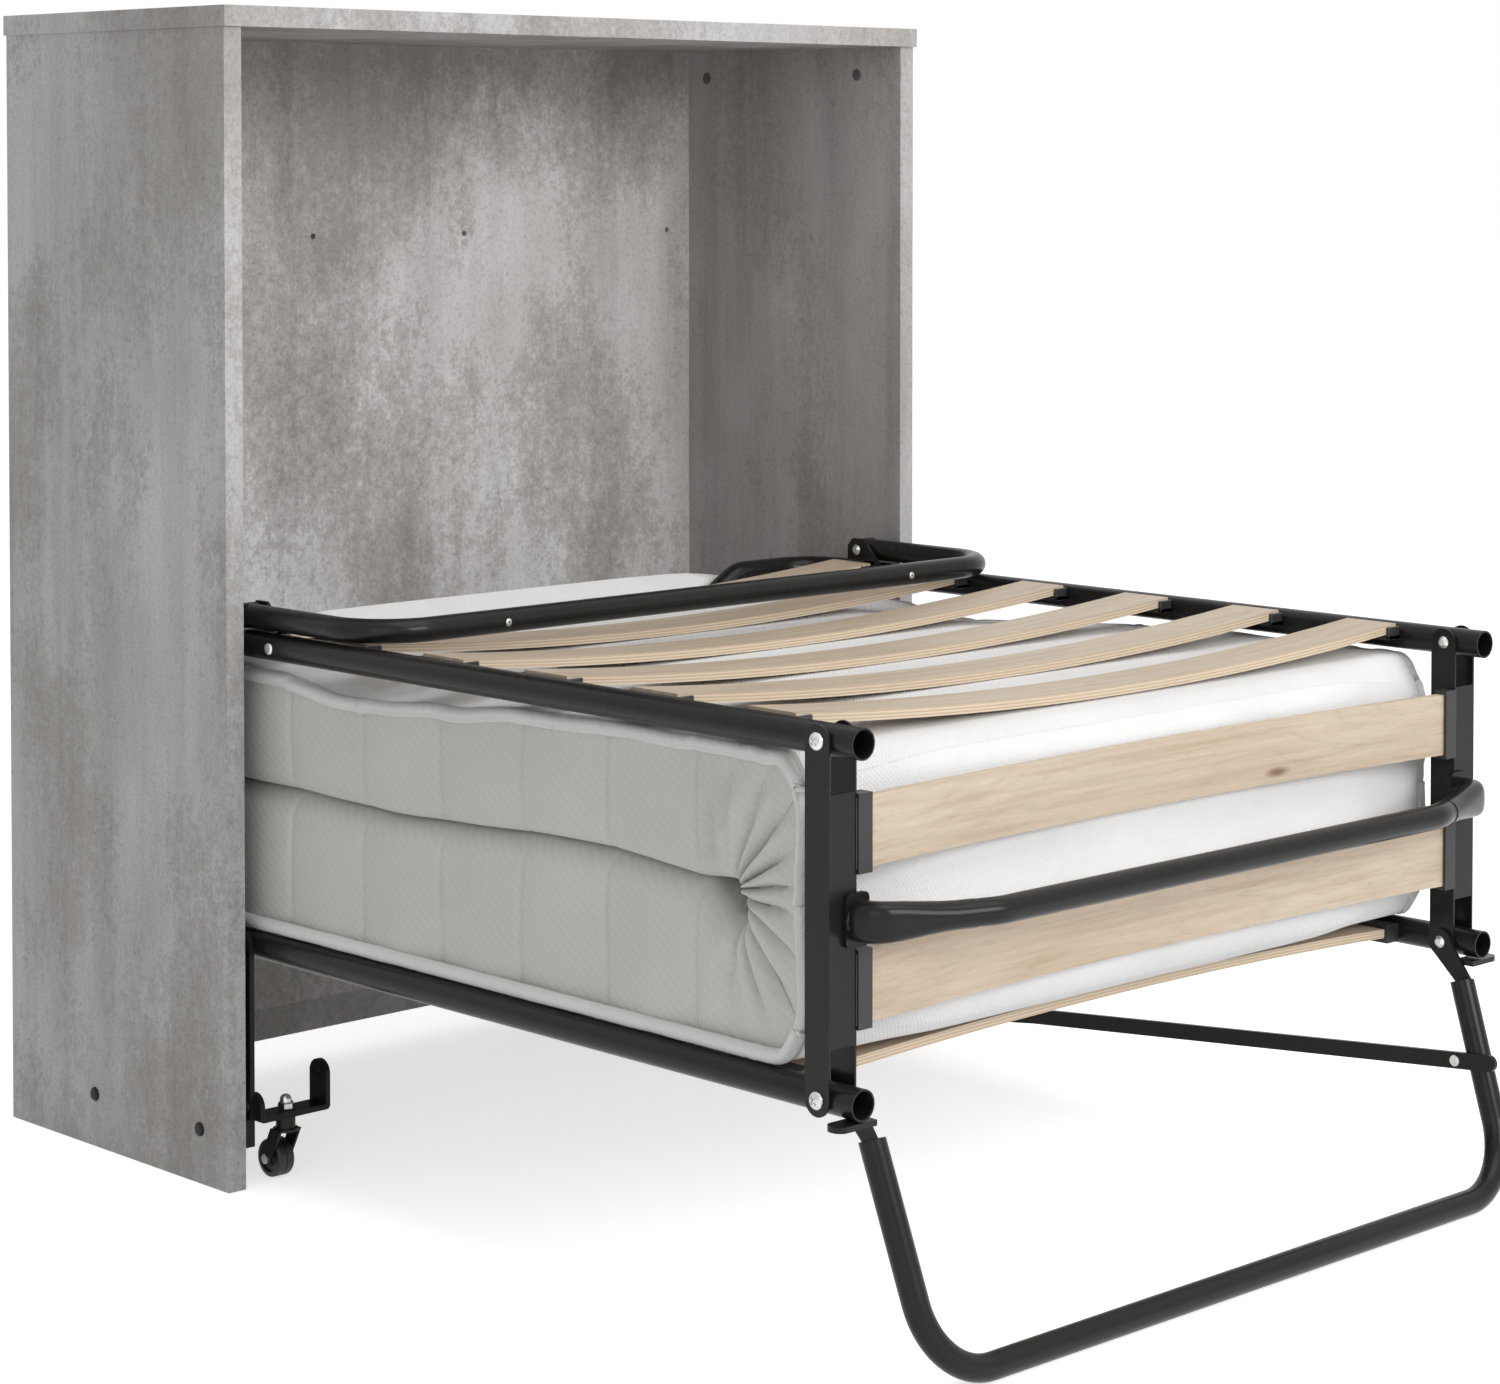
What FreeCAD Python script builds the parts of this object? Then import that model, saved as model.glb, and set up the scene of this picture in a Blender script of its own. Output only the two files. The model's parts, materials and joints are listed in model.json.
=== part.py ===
# Cabinet bed: an open-front cabinet with a half-folded guest bed coming out of it.
# Millimetres. X runs across the cabinet, Y towards its back, Z up from the floor.
# The middle of the width is X 0 and the front edge of the side panels is Y FrontEdgeY.
# Inside each body Y is measured from that front edge.
import FreeCAD, Part
import math
import os
import Sketcher

os.makedirs("parts", exist_ok=True)
doc = FreeCAD.newDocument("CabinetBed")
sheet = doc.addObject("Spreadsheet::Sheet", "Dims")

SIZES = [
    # cabinet
    ("CabinetWidth", 892, "over the two side panels"),
    ("SideHeight", 1055, "floor to underside of the top board"),
    ("SideDepth", 360, "depth of a side panel"),
    ("Board", 19, "board thickness"),
    ("FrontEdgeY", 230.5, "front edge of the side panels in the frame"),
    ("TopSideLap", 2, "top board beyond each side"),
    ("TopFrontLap", 4, "top board beyond the front edge"),
    ("TopBackLap", 2, "top board beyond the back edge"),
    ("BackInset", 9, "back panel in from the rear edge"),
    ("BackBottom", 65, "lower edge of the back panel"),
    ("RailBottom", 33, "lower edge of the rear rail"),
    ("WallHoleZ", 856, "height of the wall-fixing holes"),
    ("WallHoleInner", 100, "inner wall-fixing holes from the middle"),
    ("WallHoleInset", 34, "outer wall-fixing holes from the side panels"),
    ("WallHoleRadius", 3, "wall-fixing hole"),
    # base and casters
    ("BarWide", 25, "flat bar of the base, width"),
    ("BarThick", 5, "flat bar of the base, thickness"),
    ("BaseZ", 37.5, "underside of the base bar"),
    ("BaseReach", 232, "length of the base bar"),
    ("BarRound", 10, "rounded corner at the rear of the base bar"),
    ("ArmRound", 4, "outer bend of the caster arm"),
    ("ArmUnderZ", 59.5, "underside of the caster arm"),
    ("ArmReach", 107.5, "caster arm from the outer side face"),
    ("ArmMiddleY", 3.5, "middle of the caster arm"),
    ("ArmLugTop", 86, "top of the bolted lug"),
    ("ArmEarTop", 104.5, "top of the free lug"),
    ("SwivelInset", 66, "caster swivel from the outer side face"),
    ("StemRadius", 5, "caster stem"),
    ("WheelRadius", 17.5, "caster wheel"),
    ("WheelWide", 18, "caster wheel"),
    ("Trail", 15, "caster axle behind the swivel"),
    ("AxleRadius", 3, "caster axle"),
    ("AxleHeadRadius", 4.5, "caster axle head"),
    ("AxleHeadHigh", 1.5, "caster axle head"),
    ("WheelRound", 2.5, "chamfer of the wheel's tread"),
    ("WheelPlay", 0.8, "wheel beside the fork cheeks"),
    ("ForkThick", 2, "caster fork cheek"),
    ("CrownRise", 10, "underside of the fork crown above the wheel"),
    ("CrownThick", 2.5, "fork crown"),
    ("CupRadius", 9, "bearing cup of the caster"),
    ("CheekHalf", 8, "half width of the fork cheek at its top"),
    ("CheekEye", 5.5, "half width of the fork cheek at the axle"),
    ("SwivelPlay", 0.2, "fork and nut beside the caster arm"),
    ("NutRadius", 7.5, "dome nut on the stem"),
    ("NutHigh", 7, "dome nut, lower part"),
    ("DomeRadius", 4.5, "dome nut, upper part"),
    ("DomeHigh", 7, "dome nut, upper part"),
    ("StemTop", 5, "stem above the caster arm"),
    ("PostTop", 219, "height of the bed tilt pivot"),
    ("PivotY", 12.5, "tilt pivot behind the front edge"),
    # bed frame
    ("RailRadius", 12.5, "frame tube outside"),
    ("TubeWall", 1.5, "tube wall"),
    ("RailInset", 43, "frame tube axis from the outer side face"),
    ("KneeReach", 727, "knee pivots in front of the front edge"),
    ("KneeRise", 275, "upper knee pivot above the lower one"),
    ("TubeEndLap", 35, "frame tube beyond the knee pivot"),
    ("LowerHeadReach", 90, "lower cross tube behind the front edge"),
    ("UpperHeadReach", 112, "upper cross bar behind the front edge"),
    ("LowerBend", 55, "lower frame corner"),
    ("UpperBend", 50, "upper frame corner"),
    ("BarDip", 30, "dip of the upper cross bar"),
    ("DipStart", 190, "dip starts from the middle line, measured inwards of it"),
    ("DipBend", 35, "bends of the dip"),
    ("SlatWide", 55, "slat width"),
    ("SlatThick", 8, "slat thickness"),
    ("SlatEnd", 58, "slat end from the outer side face"),
    ("SlatFirst", 80.5, "first slat from the knee pivot"),
    ("UpperSlatLast", 78.5, "last upper slat in front of the cross bar"),
    ("LowerSlatLast", 126.5, "last lower slat in front of the cross tube"),
    ("SlatBow", 18, "bow of the upper and middle slats"),
    ("LowerSlatBow", 10, "bow of the lower slats"),
    ("HolderLong", 62, "slat holder along the rail"),
    ("HolderHigh", 16, "slat holder thickness"),
    ("HolderReach", 17.3, "slat holder across"),
    ("HolderDrop", 2.5, "upper slat holder below its slat's middle"),
    ("SlatPlay", 0.2, "slat in its holder"),
    ("PieceGap", 0.3, "running gap beside a moving piece"),
    ("HolderGap", 0.2, "holder beside its tube"),
    ("ChannelWide", 30, "knee channel over its flanges"),
    ("ChannelThick", 2, "knee channel sheet"),
    ("EarRadius", 13, "knee channel ear"),
    ("WebCut", 40, "knee channel web ends from the pivots"),
    ("MiddleSlatLow", 82, "lower middle slat above the lower knee pivot"),
    ("MiddleSlatPitch", 120, "middle slat spacing"),
    ("RivetRadius", 4, "pivot rivet"),
    ("RivetHeadRadius", 5.5, "pivot rivet head"),
    ("RivetHeadHigh", 2.5, "pivot rivet head"),
    ("RivetTopRadius", 3, "flat top of a rivet head"),
    ("HeadPlay", 0.1, "rivet head beside the piece it holds"),
    ("PinRadius", 3, "strut pin"),
    ("PinHeadRadius", 5, "strut pin head"),
    ("PinHeadHigh", 2, "strut pin head"),
    ("PinPlay", 0.05, "radial play of pins, bolts and stems"),
    # grab bar, front leg, strut
    ("BentTubeRadius", 11, "grab bar and leg tubes"),
    ("GrabRise", 137, "grab bar above the lower knee pivot"),
    ("GrabStandOff", 55, "grab bar in front of the channels"),
    ("GrabBendInset", 160, "grab bar bend from the outer side face"),
    ("GrabBend", 45, "grab bar bend beside its long middle"),
    ("GrabLugBend", 20, "grab bar bend at its lug"),
    ("GrabLugStraight", 18, "straight start of the grab bar"),
    ("GrabLugThick", 4, "grab bar lug"),
    ("GrabLugRound", 5, "grab bar lug corner"),
    ("GrabLugInset", 55.5, "middle of the grab bar lug from the outer side face"),
    ("GrabLugWide", 25, "grab bar lug"),
    ("GrabLugHigh", 42, "grab bar lug"),
    ("LegLean", 18.5, "front leg lean from upright, degrees"),
    ("LegDown", 224.2, "front leg cross tube along the leg from the pivot"),
    ("LegSet", 14.6, "leg plane in front of the pivot"),
    ("LegTopInset", 62, "leg arm at its top from the outer side face"),
    ("LegFootInset", 72, "leg arm at its foot from the outer side face"),
    ("LegTubeStart", 38, "leg tube starts along the leg"),
    ("LegBend", 65, "leg corner"),
    ("PlateThick", 3, "leg bracket plate"),
    ("PlateRadius", 12, "leg bracket plate end"),
    ("PlateLong", 60, "leg bracket plate along the leg"),
    ("ShelfReach", 40, "stop shelf outwards from the plate"),
    ("ShelfFront", 35, "stop shelf front edge from the pivot"),
    ("ShelfBack", 16.5, "stop shelf back edge from the pivot"),
    ("ShelfDrop", 13.3, "stop shelf top below the pivot"),
    ("ShelfThick", 4.7, "stop shelf"),
    ("ShelfRound", 8, "stop shelf outer corners"),
    ("PlateHalf", 8, "half width of the leg bracket plate on the tube"),
    ("StrutWide", 15, "strut width"),
    ("StrutThick", 4, "strut thickness"),
    ("StrutPivotZ", 92, "strut pivot on the caster arm lug"),
    ("StrutEndBack", 33, "strut pivot on the leg in front of the knee pivot"),
    ("StrutEndDrop", 100, "strut pivot on the leg below the knee pivot"),
    ("StrutFreeEnd", 35, "strut beyond its leg pivot"),
    ("StrutCrankY", 62, "strut crank in front of its pivot"),
    ("StrutCrankDrop", 40, "strut crank below its pivot"),
    ("StrutJoggle", 190, "length over which the strut runs outwards to the leg"),
    ("StrutLegInset", 79.5, "strut beside the leg, from the outer side face"),
    # foot leg
    ("FootPivotY", 26, "foot leg pivot behind the front edge"),
    ("FootCrossY", 165, "foot leg cross tube in front of the front edge"),
    ("FootBend", 60, "foot leg corner"),
    ("FootLift", 1.8, "foot leg tube above the upper rail"),
    ("FootEarRadius", 11.5, "pressed ear at the end of the foot leg"),
    ("FootEarWide", 16, "pressed ear at the end of the foot leg"),
    ("BracketBack", 13, "foot bracket behind its pivot"),
    ("BracketFront", 30, "foot bracket in front of the front edge"),
    # mattress
    ("MattressInset", 48, "mattress side from the outer side face"),
    ("MattressBottom", 233.3, "underside of the lower layer"),
    ("MattressTop", 480.2, "top of the upper layer"),
    ("MattressRear", 100, "rear end of the mattress layers"),
    ("CreaseInset", 115, "fold crease behind the knee pivots"),
    ("CreaseZ", 360.5, "height of the fold crease"),
    ("NoseInset", 13.3, "front of the fold behind the knee pivots"),
    ("SoftRound", 12, "rounded rear edges of the layers"),
    ("LowSplit", 31, "lower layer parts from the fold above its underside"),
    ("HighSplit", 26, "upper layer parts from the fold below its top"),
    ("FoldRound", 55, "rounding of the fold"),
    ("FoldShoulder", 22, "start of the fold's rounding"),
    ("FoldEase", 5, "draw-in of the fold's rounding"),
    ("LayerRound", 30, "rounding of the layers at the fold"),
    ("LayerEase", 9, "draw-in of the layers at the fold"),
    ("HumpRound", 8, "rounding of the white end"),
    ("DentRound", 2, "dent wider than the cross bar"),
    ("DentRamp", 24, "slope in front of the dent"),
    ("SideDraw", 9, "draw-in of the mattress at its side faces"),
    ("LayerGap", 1.5, "half gap between the two layers"),
    ("SoftGap", 0.3, "gap beside soft pieces"),
    ("HumpTop", 498, "top of the white end behind the cross bar"),
    ("HumpRear", 150, "rear face of the white end"),
]

for row, (name, value, note) in enumerate(SIZES, start=1):
    sheet.set("A%d" % row, name)
    sheet.set("B%d" % row, str(value))
    sheet.set("C%d" % row, note)
    sheet.setAlias("B%d" % row, name)
doc.recompute()

ORIGIN = FreeCAD.Vector(0, 0, 0)
NODES = []

# Places that several pieces share, as expressions of the sheet.
HALF = "Dims.CabinetWidth / 2"
RAIL_X = "(Dims.CabinetWidth / 2 - Dims.RailInset)"
LOWER_Z = "Dims.PostTop"
UPPER_Z = "(Dims.PostTop + Dims.KneeRise)"
KNEE_Y = "(-Dims.KneeReach)"
EAR_OUT = "(%s + Dims.ChannelWide / 2)" % RAIL_X
EAR_IN = "(%s - Dims.ChannelWide / 2)" % RAIL_X
WEB_Y = "(-Dims.KneeReach - Dims.EarRadius)"
UPPER_PITCH = "((Dims.KneeReach + Dims.UpperHeadReach - Dims.SlatFirst - Dims.UpperSlatLast) / 5)"
LOWER_PITCH = "((Dims.KneeReach + Dims.LowerHeadReach - Dims.SlatFirst - Dims.LowerSlatLast) / 5)"
ARM_IN = "(Dims.CabinetWidth / 2 - Dims.ArmReach)"
SWIVEL_X = "(Dims.CabinetWidth / 2 - Dims.SwivelInset)"
POST_OUT = "(Dims.CabinetWidth / 2 - Dims.Board - Dims.BarThick)"
POST_IN = "(Dims.CabinetWidth / 2 - Dims.Board - 2 * Dims.BarThick)"


def number(expression):
    """The value that an expression of the sheet has now."""
    return float(sheet.evalExpression(str(expression)))


def named(label):
    """A body that stands on the cabinet's front edge and is exported by its label."""
    body = doc.addObject("PartDesign::Body", label)
    body.Label = label
    body.AllowCompound = True
    body.setExpression("Placement.Base.y", "Dims.FrontEdgeY")
    NODES.append(body)
    return body


def origin_plane(body, role):
    for feature in body.Origin.OriginFeatures:
        if feature.Role == role:
            return feature
    return None


def new_sketch(body, role, offset):
    sketch = body.newObject("Sketcher::SketchObject", body.Label + "_sketch")
    sketch.AttachmentSupport = [(origin_plane(body, role), "")]
    sketch.MapMode = "FlatFace"
    sketch.setExpression("AttachmentOffset.Base.z", str(offset))
    return sketch


def fix_point(sketch, geometry, end, u, v):
    """Ties one end of a line or arc to two expressions."""
    index = sketch.addConstraint(Sketcher.Constraint("DistanceX", -1, 1, geometry, end, number(u)))
    sketch.setExpression("Constraints[%d]" % index, str(u))
    index = sketch.addConstraint(Sketcher.Constraint("DistanceY", -1, 1, geometry, end, number(v)))
    sketch.setExpression("Constraints[%d]" % index, str(v))


def add_circle(sketch, u, v, radius):
    circle = Part.Circle(FreeCAD.Vector(number(u), number(v), 0), FreeCAD.Vector(0, 0, 1), number(radius))
    geometry = sketch.addGeometry(circle, False)
    fix_point(sketch, geometry, 3, u, v)
    index = sketch.addConstraint(Sketcher.Constraint("Radius", geometry, number(radius)))
    sketch.setExpression("Constraints[%d]" % index, str(radius))


def add_outline(sketch, corners, closed=True):
    """Straight outline through corners given as pairs of expressions."""
    spots = [FreeCAD.Vector(number(u), number(v), 0) for u, v in corners]
    count = len(corners) if closed else len(corners) - 1
    first = None
    for i in range(count):
        line = Part.LineSegment(spots[i], spots[(i + 1) % len(spots)])
        geometry = sketch.addGeometry(line, False)
        first = geometry if first is None else first
        if i:
            sketch.addConstraint(Sketcher.Constraint("Coincident", geometry - 1, 2, geometry, 1))
        fix_point(sketch, geometry, 1, corners[i][0], corners[i][1])
    if closed:
        sketch.addConstraint(Sketcher.Constraint("Coincident", first + count - 1, 2, first, 1))
    else:
        fix_point(sketch, first + count - 1, 2, corners[-1][0], corners[-1][1])


def pad(body, sketch, length):
    feature = body.newObject("PartDesign::Pad", body.Label + "_pad")
    feature.Profile = sketch
    feature.setExpression("Length", str(length))
    return feature


def plate(body, role, offset, corners, length, holes=()):
    """Straight-sided plate with round holes (u, v, radius)."""
    sketch = new_sketch(body, role, offset)
    add_outline(sketch, corners)
    for u, v, radius in holes:
        add_circle(sketch, u, v, radius)
    return pad(body, sketch, length)


def box_corners(u1, v1, u2, v2):
    return [(u1, v1), (u2, v1), (u2, v2), (u1, v2)]


def cut(body, role, offset, circles, length, backwards=False):
    """Round pocket that starts on a plane and runs against its normal."""
    sketch = new_sketch(body, role, offset)
    for u, v, radius in circles:
        add_circle(sketch, u, v, radius)
    feature = body.newObject("PartDesign::Pocket", body.Label + "_pocket")
    feature.Profile = sketch
    feature.Reversed = backwards
    feature.setExpression("Length", str(length))
    return feature


def disc(body, role, offset, u, v, radius, length):
    sketch = new_sketch(body, role, offset)
    add_circle(sketch, u, v, radius)
    return pad(body, sketch, length)


def round_edges(body, test, radius):
    """Rounds the straight edges of the last shape whose middle and direction pass a test."""
    doc.recompute()
    names = []
    for i, edge in enumerate(body.Shape.copy().Edges):
        start = edge.Vertexes[0].Point
        finish = edge.Vertexes[-1].Point
        if len(edge.Vertexes) == 2 and test((start + finish) / 2 - body.Placement.Base, finish - start):
            names.append("Edge%d" % (i + 1))
    tip = body.Tip
    feature = body.newObject("PartDesign::Fillet", body.Label + "_fillet")
    feature.Base = (tip, names)
    feature.setExpression("Radius", str(radius))
    return feature


def both_sides(body, features):
    """Repeats features across the middle plane."""
    doc.recompute()
    mirror = body.newObject("PartDesign::Mirrored", body.Label + "_mirror")
    mirror.Originals = features
    mirror.MirrorPlane = (origin_plane(body, "YZ_Plane"), [""])
    body.Tip = mirror
    return mirror


def turned(body, outline, y, z):
    """Solid of revolution about a line along X through (y, z); outline is (x, radius) pairs."""
    sketch = new_sketch(body, "XZ_Plane", "-(%s)" % y)
    add_outline(sketch, [(x, "%s + %s" % (z, radius)) for x, radius in outline])
    axis = sketch.addGeometry(Part.LineSegment(FreeCAD.Vector(number(outline[0][0]), number(z), 0),
                                               FreeCAD.Vector(number(outline[-1][0]), number(z), 0)), True)
    fix_point(sketch, axis, 1, outline[0][0], z)
    fix_point(sketch, axis, 2, outline[-1][0], z)
    feature = body.newObject("PartDesign::Revolution", body.Label + "_revolution")
    feature.Profile = sketch
    feature.ReferenceAxis = (sketch, ["Axis0"])
    feature.Angle = 360
    return feature


def bent_path(body, role, offset, start, corners, finish):
    """Open path with rounded corners; corners are (u, v, radius) expressions."""
    sketch = new_sketch(body, role, offset)
    stops = [(start[0], start[1], "0")] + list(corners) + [(finish[0], finish[1], "0")]
    spots = [FreeCAD.Vector(number(u), number(v), 0) for u, v, radius in stops]
    trims = [number(stop[2]) for stop in stops]
    ends = []
    for i, spot in enumerate(spots):
        if 0 < i < len(spots) - 1:
            before = (spots[i - 1] - spot).normalize()
            after = (spots[i + 1] - spot).normalize()
            half = before.getAngle(after) / 2
            reach = trims[i] / math.tan(half)
            centre = spot + (before + after).normalize() * (trims[i] / math.sin(half))
            ends.append((spot + before * reach, spot + after * reach, centre))
        else:
            ends.append((spot, spot, None))
    pieces = []
    for i in range(len(spots) - 1):
        pieces.append(sketch.addGeometry(Part.LineSegment(ends[i][1], ends[i + 1][0]), False))
    for i in range(1, len(spots) - 1):
        into, out, centre = ends[i]
        a1 = math.atan2(into.y - centre.y, into.x - centre.x)
        a2 = math.atan2(out.y - centre.y, out.x - centre.x)
        left = (into - centre).cross(out - centre).z > 0
        circle = Part.Circle(centre, FreeCAD.Vector(0, 0, 1), trims[i])
        arc = sketch.addGeometry(Part.ArcOfCircle(circle, a1 if left else a2, a2 if left else a1), False)
        sketch.addConstraint(Sketcher.Constraint("Tangent", pieces[i - 1], 2, arc, 1 if left else 2))
        sketch.addConstraint(Sketcher.Constraint("Tangent", pieces[i], 1, arc, 2 if left else 1))
        index = sketch.addConstraint(Sketcher.Constraint("Radius", arc, trims[i]))
        sketch.setExpression("Constraints[%d]" % index, str(stops[i][2]))
        corner = sketch.addGeometry(Part.Point(spots[i]), True)
        fix_point(sketch, corner, 1, stops[i][0], stops[i][1])
        sketch.addConstraint(Sketcher.Constraint("PointOnObject", corner, 1, pieces[i - 1]))
        sketch.addConstraint(Sketcher.Constraint("PointOnObject", corner, 1, pieces[i]))
    fix_point(sketch, pieces[0], 1, start[0], start[1])
    fix_point(sketch, pieces[-1], 2, finish[0], finish[1])
    return sketch


def tube(body, spine, role, offset, u, v, radius):
    """Round bar swept along a path, with its end circle drawn on a plane."""
    ring = new_sketch(body, role, offset)
    add_circle(ring, u, v, radius)
    feature = body.newObject("PartDesign::AdditivePipe", body.Label + "_pipe")
    feature.Profile = ring
    feature.Spine = (spine, [])
    return feature


def side(sign, expression):
    """An X position given for the right side, for the side with this sign."""
    return "(%d * (%s))" % (sign, expression)


def low_x(sign, near, far):
    """The lower X of two right-hand positions once they are on the side with this sign."""
    return side(sign, near) if sign > 0 else side(sign, far)


def make_top_panel():
    body = named("top_panel")
    half = "(%s + Dims.TopSideLap)" % HALF
    plate(body, "XY_Plane", "Dims.SideHeight",
          box_corners("-" + half, "-Dims.TopFrontLap", half, "Dims.SideDepth + Dims.TopBackLap"), "Dims.Board")


def make_side_panel(label, sign):
    body = named(label)
    plate(body, "YZ_Plane", low_x(sign, HALF + " - Dims.Board", HALF),
          box_corners("0", "0", "Dims.SideDepth", "Dims.SideHeight"), "Dims.Board")


def make_back_panel():
    body = named("back_panel")
    half = "(%s - Dims.Board)" % HALF
    holes = [(side(sign, x), "Dims.WallHoleZ", "Dims.WallHoleRadius")
             for x in ("Dims.WallHoleInner", half + " - Dims.WallHoleInset") for sign in (-1, 1)]
    plate(body, "XZ_Plane", "-(Dims.SideDepth - Dims.BackInset)",
          box_corners("-" + half, "Dims.BackBottom", half, "Dims.SideHeight"), "Dims.Board", holes)


def make_rear_rail():
    body = named("rear_bottom_rail")
    half = "(%s - Dims.Board)" % HALF
    plate(body, "XZ_Plane", "-(Dims.SideDepth - Dims.BackInset)",
          box_corners("-" + half, "Dims.RailBottom", half, "Dims.BackBottom"), "Dims.Board")


def make_base_bar(label, sign):
    body = named(label)
    plate(body, "YZ_Plane", low_x(sign, POST_OUT, HALF + " - Dims.Board"),
          box_corners("0", "Dims.BaseZ", "Dims.BaseReach", "Dims.BaseZ + Dims.BarWide"), "Dims.BarThick")
    round_edges(body, lambda middle, way: abs(way.x) > 1 and middle.y > number("Dims.BaseReach - 1"),
                "Dims.BarRound")


def make_post(label, sign):
    body = named(label)
    holes = [("Dims.PivotY", LOWER_Z, "Dims.RivetRadius + Dims.PinPlay")]
    top = "Dims.PostTop + Dims.BarWide / 2"
    plate(body, "YZ_Plane", low_x(sign, POST_IN, POST_OUT),
          box_corners("Dims.PivotY - Dims.BarWide / 2", "Dims.BaseZ", "Dims.PivotY + Dims.BarWide / 2", top),
          "Dims.BarThick", holes)
    round_edges(body, lambda middle, way: abs(way.x) > 1 and middle.z > number(top) - 1,
                "Dims.BarWide / 2 - 0.01")


def make_caster_arm(label, sign):
    """Flat bar bent up at both ends: one lug bolts to the post, the free one carries the strut."""
    body = named(label)
    outer = POST_IN
    thick = "Dims.BarThick"
    bolt_x = "(%s - %s)" % (outer, thick)
    corners = [(side(sign, outer), "Dims.ArmUnderZ"), (side(sign, ARM_IN), "Dims.ArmUnderZ"),
               (side(sign, ARM_IN), "Dims.ArmEarTop"),
               (side(sign, ARM_IN + " + " + thick), "Dims.ArmEarTop"),
               (side(sign, ARM_IN + " + " + thick), "Dims.ArmUnderZ + " + thick),
               (side(sign, bolt_x), "Dims.ArmUnderZ + " + thick), (side(sign, bolt_x), "Dims.ArmLugTop"),
               (side(sign, outer), "Dims.ArmLugTop")]
    plate(body, "XZ_Plane", "-(Dims.ArmMiddleY + Dims.BarWide / 2)", corners, "Dims.BarWide")
    round_edges(body, lambda middle, way: abs(way.x) > 1 and abs(way.x) < 6
                and middle.z > number("Dims.ArmUnderZ + 2 * Dims.BarThick"),
                "Dims.BarWide / 2 - 0.05")
    round_edges(body, lambda middle, way: abs(way.y) > 10 and middle.z < number("Dims.ArmUnderZ") + 0.1,
                "Dims.ArmRound")
    cut(body, "YZ_Plane", low_x(sign, ARM_IN, ARM_IN + " + " + thick),
        [("Dims.ArmMiddleY", "Dims.StrutPivotZ", "Dims.PinRadius + Dims.PinPlay")], thick, True)
    cut(body, "XY_Plane", "Dims.ArmUnderZ + " + thick,
        [(side(sign, SWIVEL_X), "Dims.ArmMiddleY", "Dims.StemRadius + Dims.PinPlay")], thick)


def make_caster_fork(label, sign):
    """Swivel stem, bearing cup and two drawn cheeks that trail to the axle."""
    body = named(label)
    x = side(sign, SWIVEL_X)
    y = "Dims.ArmMiddleY"
    axle_y = "(Dims.ArmMiddleY + Dims.Trail)"
    axle_z = "Dims.WheelRadius"
    crown = "(2 * Dims.WheelRadius + Dims.CrownRise)"
    gap = "(Dims.WheelWide / 2 + Dims.WheelPlay)"
    cup_top = "(Dims.ArmUnderZ - Dims.SwivelPlay)"
    disc(body, "XY_Plane", crown, x, y, "%s + Dims.ForkThick" % gap, "Dims.CrownThick")
    disc(body, "XY_Plane", crown + " + Dims.CrownThick", x, y, "Dims.CupRadius",
         "%s - %s - Dims.CrownThick" % (cup_top, crown))
    disc(body, "XY_Plane", cup_top, x, y, "Dims.StemRadius", "Dims.BarThick + Dims.StemTop")
    cheek = [(y + " - Dims.CheekHalf", crown + " + Dims.CrownThick * 0.8"),
             (axle_y + " - Dims.CheekEye", axle_z + " - Dims.CheekEye * 0.7"),
             (axle_y, axle_z + " - Dims.CheekEye * 1.15"),
             (axle_y + " + Dims.CheekEye", axle_z + " - Dims.CheekEye * 0.7"),
             (axle_y + " + Dims.CheekEye", axle_z + " + Dims.CheekEye * 0.6"),
             (y + " + Dims.CheekHalf", crown + " + Dims.CrownThick * 0.8")]
    hole = [(axle_y, axle_z, "Dims.AxleRadius + Dims.PinPlay")]
    plate(body, "YZ_Plane", "%s + %s" % (x, gap), cheek, "Dims.ForkThick", hole)
    plate(body, "YZ_Plane", "%s - %s - Dims.ForkThick" % (x, gap), cheek, "Dims.ForkThick", hole)


def make_caster_nut(label, sign):
    body = named(label)
    x = side(sign, SWIVEL_X)
    base = "Dims.ArmUnderZ + Dims.BarThick + Dims.SwivelPlay"
    disc(body, "XY_Plane", base, x, "Dims.ArmMiddleY", "Dims.NutRadius", "Dims.NutHigh")
    disc(body, "XY_Plane", base + " + Dims.NutHigh", x, "Dims.ArmMiddleY", "Dims.DomeRadius", "Dims.DomeHigh")
    cut(body, "XY_Plane", base, [(x, "Dims.ArmMiddleY", "Dims.StemRadius + Dims.PinPlay")],
        "Dims.StemTop + Dims.PinPlay", True)


def make_wheel(label, sign):
    body = named(label)
    left = "(%s - Dims.WheelWide / 2)" % side(sign, SWIVEL_X)
    right = "(%s + Dims.WheelWide / 2)" % side(sign, SWIVEL_X)
    bore = "(Dims.AxleRadius + Dims.PinPlay)"
    shoulder = "Dims.WheelRadius - Dims.WheelRound"
    turned(body, [(left, bore), (left, shoulder), (left + " + Dims.WheelRound", "Dims.WheelRadius"),
                  (right + " - Dims.WheelRound", "Dims.WheelRadius"), (right, shoulder), (right, bore)],
           "(Dims.ArmMiddleY + Dims.Trail)", "Dims.WheelRadius")


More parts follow.
